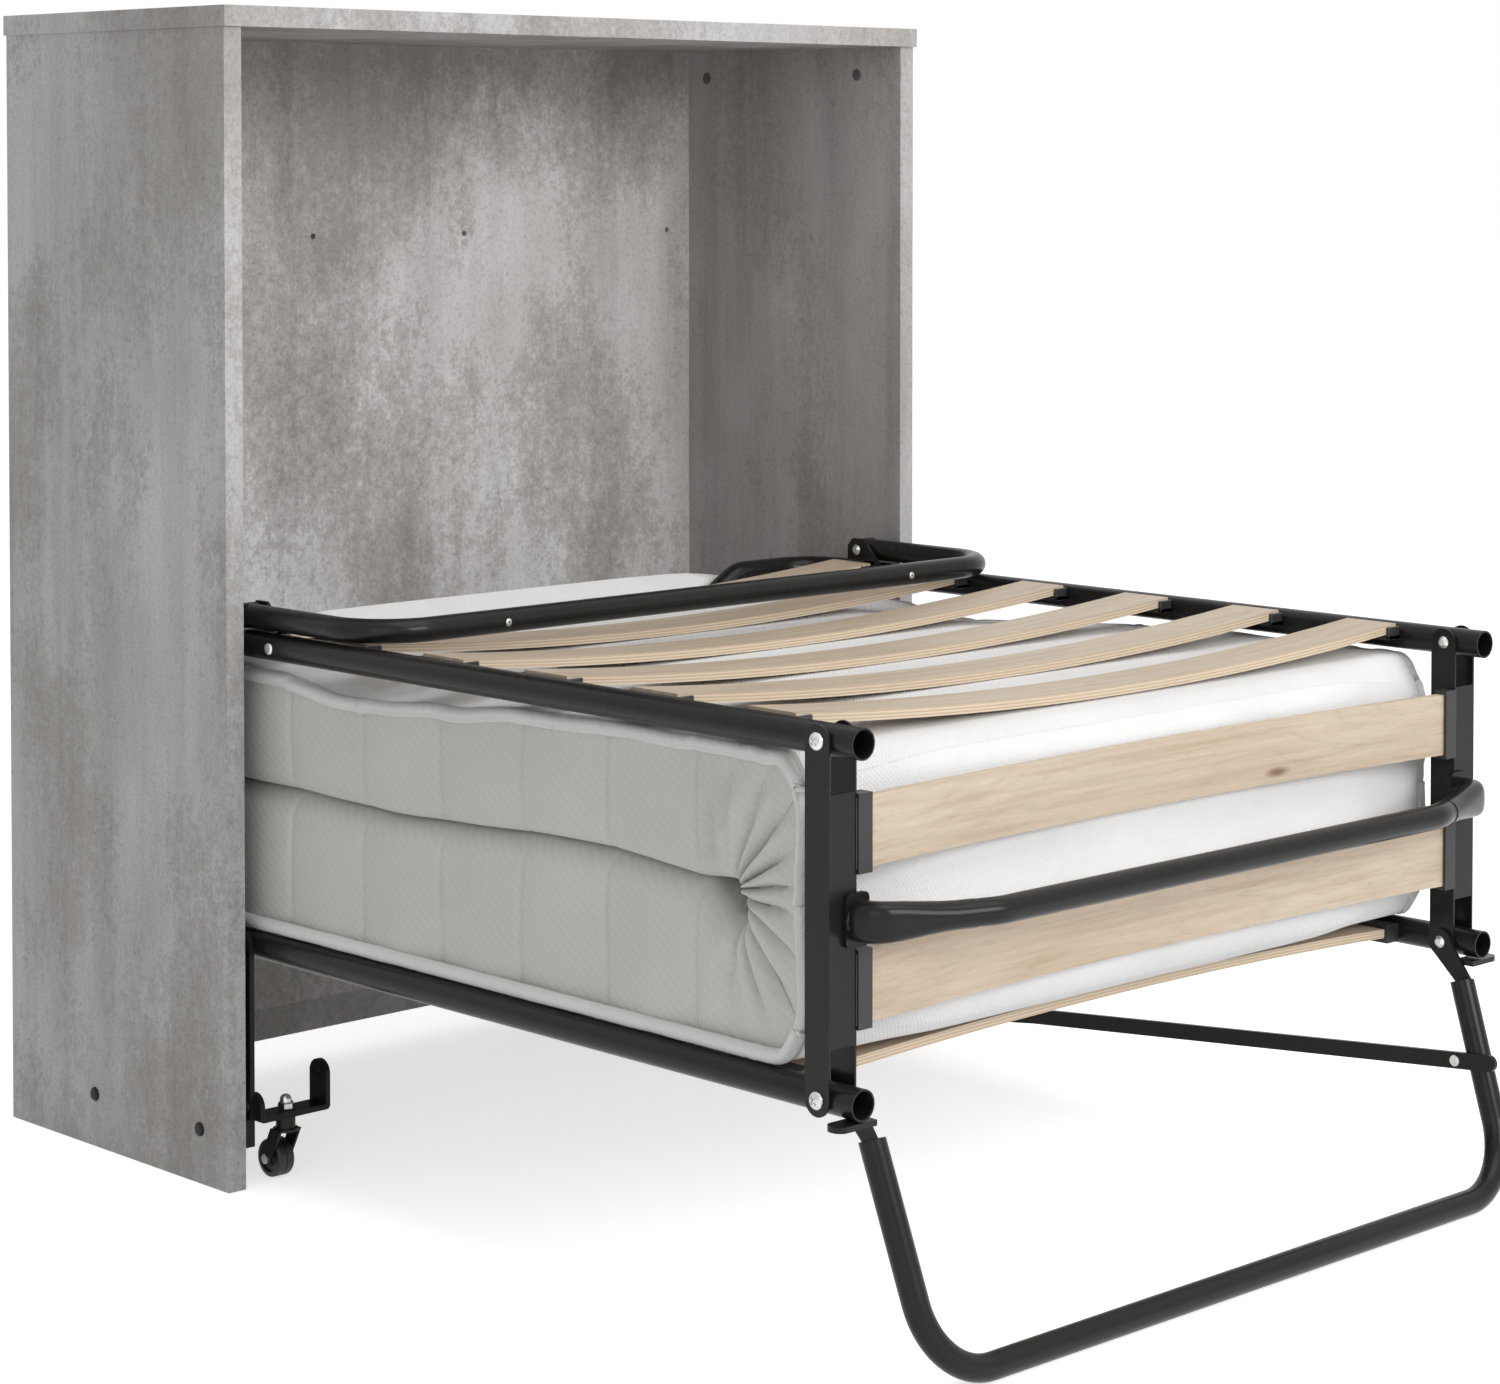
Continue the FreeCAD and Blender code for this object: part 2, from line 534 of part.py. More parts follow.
def make_axle(label, sign):
    body = named(label)
    reach = "(Dims.WheelWide / 2 + Dims.WheelPlay + Dims.ForkThick)"
    left = "(%s - %s)" % (side(sign, SWIVEL_X), reach)
    right = "(%s + %s)" % (side(sign, SWIVEL_X), reach)
    turned(body, [(left + " - Dims.AxleHeadHigh", "0"), (left + " - Dims.AxleHeadHigh", "Dims.AxleHeadRadius"),
                  (left, "Dims.AxleHeadRadius"), (left, "Dims.AxleRadius"), (right, "Dims.AxleRadius"),
                  (right, "Dims.AxleHeadRadius"), (right + " + Dims.AxleHeadHigh", "Dims.AxleHeadRadius"),
                  (right + " + Dims.AxleHeadHigh", "0")],
           "(Dims.ArmMiddleY + Dims.Trail)", "Dims.WheelRadius")


def make_pivot_rivets(label, y, z, inner, outer):
    """A pair of dome-headed pivot rivets; inner and outer are the faces under the heads."""
    body = named(label)
    under = "(%s - Dims.RivetHeadHigh)" % inner
    over = "(%s + Dims.RivetHeadHigh)" % outer
    both_sides(body, [turned(body, [(under, "0"), (under, "Dims.RivetTopRadius"), (inner, "Dims.RivetHeadRadius"),
                                    (inner, "Dims.RivetRadius"), (outer, "Dims.RivetRadius"),
                                    (outer, "Dims.RivetHeadRadius"), (over, "Dims.RivetTopRadius"), (over, "0")],
                             y, z)])


def rivet_bores(body, z, spots):
    for y in spots:
        sketch = new_sketch(body, "YZ_Plane", "0")
        add_circle(sketch, y, z, "Dims.RivetRadius + Dims.PinPlay")
        feature = body.newObject("PartDesign::Pocket", body.Label + "_bore")
        feature.Profile = sketch
        feature.Type = "ThroughAll"
        feature.SideType = "Symmetric"


def open_rails(body, z, back):
    """Bores both rails from their open front ends to where the corners begin."""
    circles = [(side(sign, RAIL_X), z, "Dims.RailRadius - Dims.TubeWall") for sign in (-1, 1)]
    cut(body, "XZ_Plane", "Dims.KneeReach + Dims.TubeEndLap", circles,
        "Dims.KneeReach + Dims.TubeEndLap + %s" % back)


def make_lower_frame():
    body = named("lower_frame_tube")
    end = "-Dims.KneeReach - Dims.TubeEndLap"
    spine = bent_path(body, "XY_Plane", LOWER_Z, ("-" + RAIL_X, end),
                      [("-" + RAIL_X, "Dims.LowerHeadReach", "Dims.LowerBend"),
                       (RAIL_X, "Dims.LowerHeadReach", "Dims.LowerBend")], (RAIL_X, end))
    tube(body, spine, "XZ_Plane", "Dims.KneeReach + Dims.TubeEndLap", "-" + RAIL_X, LOWER_Z, "Dims.RailRadius")
    open_rails(body, LOWER_Z, "Dims.LowerHeadReach - Dims.LowerBend")
    rivet_bores(body, LOWER_Z, ["Dims.PivotY", KNEE_Y])


def make_upper_frame():
    """Level side rails and corners, and a cross bar that dips to hold the mattress down."""
    body = named("upper_frame_tube")
    turn = "(%s - Dims.UpperBend)" % RAIL_X
    for sign in (-1, 1):
        spine = bent_path(body, "XY_Plane", UPPER_Z,
                          (side(sign, RAIL_X), "-Dims.KneeReach - Dims.TubeEndLap"),
                          [(side(sign, RAIL_X), "Dims.UpperHeadReach", "Dims.UpperBend")],
                          (side(sign, turn + " - 5"), "Dims.UpperHeadReach"))
        tube(body, spine, "XZ_Plane", "Dims.KneeReach + Dims.TubeEndLap", side(sign, RAIL_X), UPPER_Z,
             "Dims.RailRadius")
    low = "%s - Dims.BarDip" % UPPER_Z
    foot = "(%s - Dims.DipStart / 3.2)" % turn
    ramp = "(%s - Dims.DipStart / 3.2 - Dims.BarDip * 1.6)" % turn
    spine = bent_path(body, "XZ_Plane", "-Dims.UpperHeadReach", ("-(%s - 5)" % turn, UPPER_Z),
                      [("-" + foot, UPPER_Z, "Dims.DipBend"), ("-" + ramp, low, "Dims.DipBend"),
                       (ramp, low, "Dims.DipBend"), (foot, UPPER_Z, "Dims.DipBend")],
                      ("(%s - 5)" % turn, UPPER_Z))
    tube(body, spine, "YZ_Plane", "-(%s - 5)" % turn, "Dims.UpperHeadReach", UPPER_Z, "Dims.RailRadius")
    open_rails(body, UPPER_Z, "Dims.UpperHeadReach - Dims.UpperBend")
    rivet_bores(body, UPPER_Z, [KNEE_Y])


def make_slat(label, role, offset, level, bow):
    """Bent plywood slat: two equal arcs a thickness apart, padded to the slat's width."""
    body = named(label)
    sketch = new_sketch(body, role, offset)
    end = "(%s - Dims.SlatEnd)" % HALF
    half = number(end)
    sag = number(bow)
    base = number(level)
    thick = number("Dims.SlatThick")
    arcs = []
    for low in (base, base + thick):
        curve = Part.Arc(FreeCAD.Vector(-half, low, 0), FreeCAD.Vector(0, low + sag, 0),
                         FreeCAD.Vector(half, low, 0))
        arcs.append(sketch.addGeometry(curve, False))
    for sign in (-1, 1):
        sketch.addGeometry(Part.LineSegment(FreeCAD.Vector(sign * half, base, 0),
                                            FreeCAD.Vector(sign * half, base + thick, 0)), False)
    radius = "(%s * %s + (%s) * (%s)) / (2 * sqrt((%s) * (%s)))" % (end, end, bow, bow, bow, bow)
    for arc, height in zip(arcs, (level, "%s + Dims.SlatThick" % level)):
        first = 2 if sag > 0 else 1
        fix_point(sketch, arc, first, "-" + end, height)
        fix_point(sketch, arc, 3 - first, end, height)
        index = sketch.addConstraint(Sketcher.Constraint("Radius", arc, number(radius)))
        sketch.setExpression("Constraints[%d]" % index, radius)
        for line, arc_end in ((2, first), (3, 3 - first)):
            sketch.addConstraint(Sketcher.Constraint("Coincident", arc, arc_end, line, 1 if arc == 0 else 2))
    pad(body, sketch, "Dims.SlatWide")


def holder_outline(level, first):
    """Slat holder seen along the slat, as a box round its end."""
    return box_corners(first, "%s - Dims.HolderHigh / 2" % level,
                       "%s + Dims.HolderLong" % first, "%s + Dims.HolderHigh / 2" % level)


def make_rail_holders(label, level, slat_low, pitch, under, over):
    """Pocketed plastic holders at the slat ends; under and over leave room for the bow."""
    body = named(label)
    outer = "(%s - Dims.RailRadius - Dims.HolderGap)" % RAIL_X
    inner = "(%s - Dims.HolderReach)" % outer
    first = "(-Dims.KneeReach + Dims.SlatFirst - Dims.HolderLong / 2)"
    made = [plate(body, "YZ_Plane", inner, holder_outline(level, first), "Dims.HolderReach")]
    doc.recompute()
    sketch = new_sketch(body, "YZ_Plane", inner)
    slat_y = "(-Dims.KneeReach + Dims.SlatFirst - Dims.SlatWide / 2 - Dims.SlatPlay)"
    add_outline(sketch, box_corners(slat_y, "%s - Dims.SlatPlay - %s" % (slat_low, under),
                                    "%s + Dims.SlatWide + 2 * Dims.SlatPlay" % slat_y,
                                    "%s + Dims.SlatThick + Dims.SlatPlay + %s" % (slat_low, over)))
    pocket = body.newObject("PartDesign::Pocket", label + "_pocket")
    pocket.Profile = sketch
    pocket.Reversed = True
    pocket.setExpression("Length", "%s - Dims.SlatEnd + Dims.SlatPlay - %s" % (HALF, inner))
    doc.recompute()
    pattern = body.newObject("PartDesign::MultiTransform", label + "_pattern")
    pattern.Originals = [made[0], pocket]
    row = body.newObject("PartDesign::LinearPattern", label + "_row")
    row.Direction = (origin_plane(body, "Y_Axis"), [""])
    row.Occurrences = 6
    row.setExpression("Length", "%s * 5" % pitch)
    mirror = body.newObject("PartDesign::Mirrored", label + "_mirror")
    mirror.MirrorPlane = (origin_plane(body, "YZ_Plane"), [""])
    pattern.Transformations = [row, mirror]
    body.Tip = pattern


def make_middle_holders():
    body = named("middle_slat_holders")
    outer = "(%s - Dims.HolderGap)" % EAR_IN
    inner = "(%s - Dims.HolderReach + 2)" % outer
    middle = "(%s + Dims.SlatThick / 2)" % WEB_Y
    first = "(%s + Dims.MiddleSlatLow - Dims.HolderLong / 2)" % LOWER_Z
    block = plate(body, "YZ_Plane", inner,
                  box_corners("%s - 6" % middle, first, "%s + 7" % middle, "%s + Dims.HolderLong" % first),
                  "Dims.HolderReach - 2")
    doc.recompute()
    sketch = new_sketch(body, "YZ_Plane", inner)
    low = "(%s + Dims.MiddleSlatLow - Dims.SlatWide / 2 - Dims.SlatPlay)" % LOWER_Z
    add_outline(sketch, box_corners("%s - Dims.SlatPlay" % WEB_Y, low,
                                    "%s + Dims.SlatThick + Dims.SlatPlay + 1.4" % WEB_Y,
                                    "%s + Dims.SlatWide + 2 * Dims.SlatPlay" % low))
    pocket = body.newObject("PartDesign::Pocket", "middle_slat_holders_pocket")
    pocket.Profile = sketch
    pocket.Reversed = True
    pocket.setExpression("Length", "%s - Dims.SlatEnd + Dims.SlatPlay - %s" % (HALF, inner))
    doc.recompute()
    pattern = body.newObject("PartDesign::MultiTransform", "middle_slat_holders_pattern")
    pattern.Originals = [block, pocket]
    row = body.newObject("PartDesign::LinearPattern", "middle_slat_holders_row")
    row.Direction = (origin_plane(body, "Z_Axis"), [""])
    row.Occurrences = 2
    row.setExpression("Length", "Dims.MiddleSlatPitch")
    mirror = body.newObject("PartDesign::Mirrored", "middle_slat_holders_mirror")
    mirror.MirrorPlane = (origin_plane(body, "YZ_Plane"), [""])
    pattern.Transformations = [row, mirror]
    body.Tip = pattern


def make_channel(label, sign):
    """Knee channel: two flanges with round ears and a web cut short of the pivots."""
    body = named(label)
    low = "(%s - Dims.EarRadius)" % LOWER_Z
    high = "(%s + Dims.EarRadius)" % UPPER_Z
    back = "(%s + 2 * Dims.EarRadius)" % WEB_Y
    holes = [(KNEE_Y, LOWER_Z, "Dims.RivetRadius + Dims.PinPlay"), (KNEE_Y, UPPER_Z, "Dims.RivetRadius + Dims.PinPlay")]
    for start in (EAR_IN, EAR_OUT + " - Dims.ChannelThick"):
        stop = start + " + Dims.ChannelThick"
        plate(body, "YZ_Plane", low_x(sign, start, stop), box_corners(WEB_Y, low, back, high),
              "Dims.ChannelThick", holes)
    web_low = "(%s + Dims.WebCut)" % LOWER_Z
    web_high = "(%s - Dims.WebCut)" % UPPER_Z
    plate(body, "XZ_Plane", "-(%s + Dims.ChannelThick)" % WEB_Y,
          box_corners(side(sign, EAR_IN), web_low, side(sign, EAR_OUT), web_high), "Dims.ChannelThick")
    far = number(high) - 1
    near = number(low) + 1
    round_edges(body, lambda middle, way: abs(way.x) > 1 and (middle.z > far or middle.z < near),
                "Dims.EarRadius - 0.02")


def make_grab_bar():
    body = named("grab_bar")
    z = "(%s + Dims.GrabRise)" % LOWER_Z
    lug_x = "(%s - Dims.GrabLugInset)" % HALF
    bend_x = "(%s - Dims.GrabBendInset)" % HALF
    face = "(%s - Dims.GrabLugThick)" % WEB_Y
    start = "(%s + 2)" % face
    turn = "(%s - Dims.GrabLugStraight)" % start
    bar_y = "(%s - Dims.GrabStandOff)" % WEB_Y
    spine = bent_path(body, "XY_Plane", z, ("-" + lug_x, start),
                      [("-" + lug_x, turn, "Dims.GrabLugBend"), ("-" + bend_x, bar_y, "Dims.GrabBend"),
                       (bend_x, bar_y, "Dims.GrabBend"), (lug_x, turn, "Dims.GrabLugBend")], (lug_x, start))
    tube(body, spine, "XZ_Plane", "-" + start, "-" + lug_x, z, "Dims.BentTubeRadius")
    for sign in (-1, 1):
        plate(body, "XZ_Plane", "-%s" % WEB_Y,
              box_corners(side(sign, lug_x + " - Dims.GrabLugWide / 2"), z + " - Dims.GrabLugHigh / 2",
                          side(sign, lug_x + " + Dims.GrabLugWide / 2"), z + " + Dims.GrabLugHigh / 2"),
              "Dims.GrabLugThick")
    round_edges(body, lambda middle, way: abs(way.y) > 3 and abs(way.x) < 0.1 and abs(way.z) < 0.1
                and abs(middle.z - number(z)) > 15, "Dims.GrabLugRound")


def make_front_leg():
    """Bent tube leg with its bracket plates and the shelves that stop the rails."""
    body = named("front_leg")
    body.setExpression("Placement.Base.y", "Dims.FrontEdgeY - Dims.KneeReach")
    body.setExpression("Placement.Base.z", LOWER_Z)
    body.Placement.Rotation = FreeCAD.Rotation(FreeCAD.Vector(1, 0, 0), 90 - number("Dims.LegLean"))
    body.setExpression("Placement.Rotation.Angle", "90 - Dims.LegLean")
    top = "(%s - Dims.LegTopInset)" % HALF
    foot = "(%s - Dims.LegFootInset)" % HALF
    spine = bent_path(body, "XY_Plane", "Dims.LegSet", ("-" + top, "-Dims.LegTubeStart"),
                      [("-" + foot, "-Dims.LegDown", "Dims.LegBend"), (foot, "-Dims.LegDown", "Dims.LegBend")],
                      (top, "-Dims.LegTubeStart"))
    tube(body, spine, "XZ_Plane", "Dims.LegTubeStart", "-" + top, "Dims.LegSet", "Dims.BentTubeRadius")
    return body


def make_leg_plates(body):
    plate_x = "(%s - Dims.PieceGap - Dims.PlateThick)" % EAR_IN
    low = "Dims.LegSet - Dims.PlateHalf"
    high = "Dims.LegSet + Dims.PlateHalf"
    r = "Dims.PlateRadius"
    for sign in (-1, 1):
        start = low_x(sign, plate_x, plate_x + " + Dims.PlateThick")
        sketch = new_sketch(body, "YZ_Plane", start)
        add_outline(sketch, [("-%s * 0.26" % r, "-%s * 0.966" % r), ("-Dims.LegTubeStart", low),
                             ("-Dims.PlateLong", low), ("-Dims.PlateLong", high),
                             ("-Dims.LegTubeStart", high), ("-%s * 0.26" % r, "%s * 0.966" % r)])
        pad(body, sketch, "Dims.PlateThick")
        disc(body, "YZ_Plane", start, "0", "0", r, "Dims.PlateThick")
    bore = new_sketch(body, "YZ_Plane", "0")
    add_circle(bore, "0", "0", "Dims.RivetRadius + Dims.PinPlay")
    feature = body.newObject("PartDesign::Pocket", "front_leg_bore")
    feature.Profile = bore
    feature.Type = "ThroughAll"
    feature.SideType = "Symmetric"


def make_stop_shelves():
    """Small shelves under the ends of the lower rail, standing out from the leg brackets."""
    body = named("stop_shelves")
    plate_x = "(%s - Dims.PieceGap)" % EAR_IN
    front = "%s - Dims.ShelfFront" % KNEE_Y
    back = "%s - Dims.ShelfBack" % KNEE_Y
    top = "(%s - Dims.ShelfDrop)" % LOWER_Z
    for sign in (-1, 1):
        plate(body, "XY_Plane", "%s - Dims.ShelfThick" % top,
              box_corners(side(sign, plate_x), front, side(sign, plate_x + " + Dims.ShelfReach"), back),
              "Dims.ShelfThick")
    round_edges(body, lambda middle, way: abs(way.z) > 2 and abs(middle.x) > number(plate_x) + 10,
                "Dims.ShelfRound")


def make_strut():
    """Cranked flat strut on the right side, from the caster arm lug to the front leg."""
    start = ("Dims.ArmMiddleY", "Dims.StrutPivotZ")
    crank = ("Dims.ArmMiddleY - Dims.StrutCrankY", "Dims.StrutPivotZ - Dims.StrutCrankDrop")
    pin = ("%s - Dims.StrutEndBack" % KNEE_Y, "%s - Dims.StrutEndDrop" % LOWER_Z)
    y0, z0 = number(start[0]), number(start[1])
    y1, z1 = number(crank[0]), number(crank[1])
    y2, z2 = number(pin[0]), number(pin[1])
    reach = math.hypot(y2 - y1, z2 - z1)
    along = ((y2 - y1) / reach, (z2 - z1) / reach)
    tip = (y2 + along[0] * number("Dims.StrutFreeEnd"), z2 + along[1] * number("Dims.StrutFreeEnd"))
    width = number("Dims.StrutWide / 2")
    first = math.hypot(y1 - y0, z1 - z0)
    way = ((y1 - y0) / first, (z1 - z0) / first)
    lower, upper = [], []
    for (py, pz), (dy, dz) in (((y0, z0), way), (tip, along)):
        lower.append((py + dz * width, pz - dy * width))
        upper.append((py - dz * width, pz + dy * width))
    mean = (way[0] + along[0], way[1] + along[1])
    size = math.hypot(mean[0], mean[1])
    miter = width / ((way[0] * mean[0] + way[1] * mean[1]) / size)
    lower.insert(1, (y1 + mean[1] / size * miter, z1 - mean[0] / size * miter))
    upper.insert(1, (y1 - mean[1] / size * miter, z1 + mean[0] / size * miter))
    face = Part.Face(Part.makePolygon([FreeCAD.Vector(0, y, z) for y, z in lower + upper[::-1] + lower[:1]]))
    near_leg = number("%s - Dims.StrutLegInset" % HALF)
    near_lug = number("%s - Dims.PieceGap - Dims.StrutThick / 2" % ARM_IN)
    thick = number("Dims.StrutThick")
    reach_x = number(HALF)
    side_view = face.extrude(FreeCAD.Vector(reach_x, 0, 0))
    for (py, pz) in ((y0, z0), tip):
        side_view = side_view.fuse(Part.makeCylinder(width, reach_x, FreeCAD.Vector(0, py, pz),
                                                     FreeCAD.Vector(1, 0, 0)))
    plan = [(near_lug, y0 + 2 * width), (near_lug, y1), (near_leg, y1 - number("Dims.StrutJoggle")),
            (near_leg, tip[0] - 2 * width)]
    strip = [FreeCAD.Vector(x - thick / 2, y, 0) for x, y in plan]
    strip += [FreeCAD.Vector(x + thick / 2, y, 0) for x, y in plan[::-1]]
    slab = Part.Face(Part.makePolygon(strip + strip[:1])).extrude(FreeCAD.Vector(0, 0, number(UPPER_Z)))
    shape = side_view.common(slab)
    for (py, pz) in ((y0, z0), (y2, z2)):
        shape = shape.cut(Part.makeCylinder(number("Dims.PinRadius + Dims.PinPlay"), reach_x,
                                            FreeCAD.Vector(0, py, pz), FreeCAD.Vector(1, 0, 0)))
    feature = doc.addObject("Part::Feature", "strut")
    feature.Label = "strut"
    feature.Shape = shape.removeSplitter()
    feature.setExpression("Placement.Base.y", "Dims.FrontEdgeY")
    NODES.append(feature)


def make_strut_pin(label, y, z, inner, outer, inner_head, outer_head):
    """Headed pin; a head is left out where the pin ends short of the piece beside it."""
    body = named(label)
    outline = [(inner, "0"), (inner, "Dims.PinRadius"), (outer, "Dims.PinRadius"), (outer, "0")]
    if inner_head:
        under = "(%s - Dims.PinHeadHigh)" % inner
        outline[:1] = [(under, "0"), (under, "Dims.PinHeadRadius"), (inner, "Dims.PinHeadRadius")]
    if outer_head:
        over = "(%s + Dims.PinHeadHigh)" % outer
        outline[-1:] = [(outer, "Dims.PinHeadRadius"), (over, "Dims.PinHeadRadius"), (over, "0")]
    turned(body, outline, y, z)


def make_foot_leg():
    body = named("foot_leg")
    z = "(%s + Dims.RailRadius + Dims.BentTubeRadius + Dims.FootLift)" % UPPER_Z
    spine = bent_path(body, "XY_Plane", z, ("-" + RAIL_X, "Dims.FootPivotY"),
                      [("-" + RAIL_X, "-Dims.FootCrossY", "Dims.FootBend"),
                       (RAIL_X, "-Dims.FootCrossY", "Dims.FootBend")], (RAIL_X, "Dims.FootPivotY"))
    tube(body, spine, "XZ_Plane", "-Dims.FootPivotY", "-" + RAIL_X, z, "Dims.BentTubeRadius")
    for sign in (-1, 1):
        disc(body, "YZ_Plane", side(sign, RAIL_X) + " - Dims.FootEarWide / 2", "Dims.FootPivotY", z,
             "Dims.FootEarRadius", "Dims.FootEarWide")
    bore = new_sketch(body, "YZ_Plane", "0")
    add_circle(bore, "Dims.FootPivotY", z, "Dims.RivetRadius + Dims.PinPlay")
    feature = body.newObject("PartDesign::Pocket", "foot_leg_bore")
    feature.Profile = bore
    feature.Type = "ThroughAll"
    feature.SideType = "Symmetric"


def make_foot_bracket(label, sign):
    """Plate on the inner side of the upper rail that carries the foot leg."""
    body = named(label)
    rail = UPPER_Z
    pivot = "(%s + Dims.RailRadius + Dims.BentTubeRadius + Dims.FootLift)" % UPPER_Z
    outer = "(%s - Dims.RailRadius - Dims.PieceGap)" % RAIL_X
    over = rail + " + Dims.RailRadius - Dims.SlatThick / 2 - Dims.HolderDrop + Dims.HolderHigh / 2 + 0.5"
    corners = [("-Dims.BracketFront", rail + " - 7"), ("0", rail + " - 7"), ("0", over),
               ("Dims.FootPivotY + Dims.BracketBack", over),
               ("Dims.FootPivotY + Dims.BracketBack", pivot + " + 4"),
               ("Dims.FootPivotY + 6", pivot + " + 12"), ("Dims.FootPivotY - 10", pivot + " + 12"),
               ("-8", rail + " + 12"), ("-Dims.BracketFront", rail + " + 7")]
    holes = [("Dims.FootPivotY", pivot, "Dims.RivetRadius + Dims.PinPlay")]
    plate(body, "YZ_Plane", low_x(sign, outer + " - Dims.PlateThick", outer), corners, "Dims.PlateThick", holes)


def loop_solid(label, outline, steps):
    """Soft block: the side outline drawn in a little towards both side faces."""
    half = number("%s - Dims.MattressInset" % HALF)
    count = len(outline)
    middle = (sum(p[0] for p in outline) / count, sum(p[1] for p in outline) / count)
    wires = []
    for x, share in steps:
        inset = share * number("Dims.SideDraw")
        ring = []
        for y, z in outline:
            away = math.hypot(y - middle[0], z - middle[1])
            ring.append(FreeCAD.Vector(x * half, y + (middle[0] - y) / away * inset,
                                       z + (middle[1] - z) / away * inset))
        wires.append(Part.makePolygon(ring + ring[:1]))
    feature = doc.addObject("Part::Feature", label)
    feature.Label = label
    feature.Shape = Part.makeLoft(wires, True, True)
    feature.setExpression("Placement.Base.y", "Dims.FrontEdgeY")
    NODES.append(feature)


DRAW_IN = [(-1, 1), (-0.985, 0.33), (-0.96, 0), (0.96, 0), (0.985, 0.33), (1, 1)]


def make_mattress():
    """Three soft blocks that part on planes from the knee pivots to the fold crease."""
    bottom, top = number("Dims.MattressBottom"), number("Dims.MattressTop")
    rear = number("Dims.MattressRear")
    crease_y = number("%s + Dims.CreaseInset" % KNEE_Y)
    crease_z = number("Dims.CreaseZ")
    nose = number("%s + Dims.NoseInset" % KNEE_Y)
    gap, soft, edge = number("Dims.LayerGap"), number("Dims.SoftGap"), number("Dims.SoftRound")
    fold, shoulder, ease = number("Dims.FoldRound"), number("Dims.FoldShoulder"), number("Dims.FoldEase")
    layer, draw = number("Dims.LayerRound"), number("Dims.LayerEase")
    knee_y, knee_low, knee_high = number(KNEE_Y), number(LOWER_Z), number(UPPER_Z)

    def on_plane(z, knee_z):
        return crease_y + (z - crease_z) / (knee_z - crease_z) * (knee_y - crease_y)

    low_split, high_split = bottom + number("Dims.LowSplit"), top - number("Dims.HighSplit")
    low_y, high_y = on_plane(low_split, knee_low), on_plane(high_split, knee_high)
    loop_solid("mattress_lower",
               [(rear, bottom + edge), (rear, crease_z - gap - edge), (rear - edge, crease_z - gap),
                (crease_y + gap, crease_z - gap), (low_y + soft, low_split), (low_y + draw, bottom + draw),
                (low_y + layer, bottom), (rear - edge, bottom)], DRAW_IN)
    loop_solid("mattress_fold",
               [(crease_y - soft, crease_z), (low_y - soft, low_split), (nose + ease, low_split + shoulder),
                (nose, low_split + fold), (nose, high_split - fold), (nose + ease, high_split - shoulder),
                (high_y - soft, high_split)], DRAW_IN)
    head, tube_r = number("Dims.UpperHeadReach"), number("Dims.RailRadius")
    dent = number("%s - Dims.BarDip" % UPPER_Z) - tube_r - soft
    hump, hump_rear = number("Dims.HumpTop"), number("Dims.HumpRear")
    puff, side_play = number("Dims.HumpRound"), number("Dims.DentRound")
    loop_solid("mattress_upper",
               [(crease_y + gap, crease_z + gap), (hump_rear - edge, crease_z + gap),
                (hump_rear, crease_z + gap + edge), (hump_rear, hump - puff), (hump_rear - puff, hump),
                (head + tube_r + puff, hump), (head + tube_r + side_play, hump - puff),
                (head + tube_r + side_play, dent), (head - tube_r - side_play, dent),
                (head - tube_r - number("Dims.DentRamp"), top), (high_y + layer, top),
                (high_y + draw, top - draw), (high_y + soft, high_split)], DRAW_IN)


make_top_panel()
make_side_panel("side_panel_left", -1)
make_side_panel("side_panel_right", 1)
make_back_panel()
make_rear_rail()
for word, sign in (("left", -1), ("right", 1)):
    make_base_bar("base_bar_" + word, sign)
    make_post("post_" + word, sign)
    make_caster_arm("caster_arm_" + word, sign)
    make_caster_fork("caster_fork_" + word, sign)
    make_caster_nut("caster_nut_" + word, sign)
    make_wheel("caster_wheel_" + word, sign)
    make_axle("caster_axle_" + word, sign)
make_lower_frame()
make_pivot_rivets("tilt_rivets", "Dims.PivotY", LOWER_Z, "(%s - Dims.RailRadius - Dims.HeadPlay)" % RAIL_X, POST_OUT)
SLAT_SIDE = "(Dims.KneeReach - Dims.SlatFirst - Dims.SlatWide / 2 - %d * %s)"
for index in range(6):
    make_slat("lower_slat_%d" % (index + 1), "XZ_Plane", SLAT_SIDE % (index, LOWER_PITCH),
              "(%s - Dims.SlatThick / 2)" % LOWER_Z, "Dims.LowerSlatBow")
make_rail_holders("lower_slat_holders", LOWER_Z, "(%s - Dims.SlatThick / 2)" % LOWER_Z,
                  LOWER_PITCH, "0", "0.9")
make_channel("knee_channel_left", -1)
make_channel("knee_channel_right", 1)
make_pivot_rivets("lower_knee_rivets", KNEE_Y, LOWER_Z,
                  "(%s - Dims.PieceGap - Dims.PlateThick - Dims.HeadPlay)" % EAR_IN, EAR_OUT + " + Dims.HeadPlay")
make_pivot_rivets("upper_knee_rivets", KNEE_Y, UPPER_Z, "(%s - Dims.HeadPlay)" % EAR_IN,
                  EAR_OUT + " + Dims.HeadPlay")
for index in range(2):
    make_slat("middle_slat_%d" % (index + 1), "XY_Plane",
              "%s + Dims.MiddleSlatLow + %d * Dims.MiddleSlatPitch - Dims.SlatWide / 2" % (LOWER_Z, index),
              WEB_Y, "Dims.SlatBow")
make_middle_holders()
make_grab_bar()
make_upper_frame()
for index in range(6):
    make_slat("upper_slat_%d" % (index + 1), "XZ_Plane", SLAT_SIDE % (index, UPPER_PITCH),
              "(%s + Dims.RailRadius - Dims.SlatThick)" % UPPER_Z, "-Dims.SlatBow")
make_rail_holders("upper_slat_holders", "(%s + Dims.RailRadius - Dims.SlatThick / 2 - Dims.HolderDrop)" % UPPER_Z,
                  "(%s + Dims.RailRadius - Dims.SlatThick)" % UPPER_Z, UPPER_PITCH, "1.5", "0")
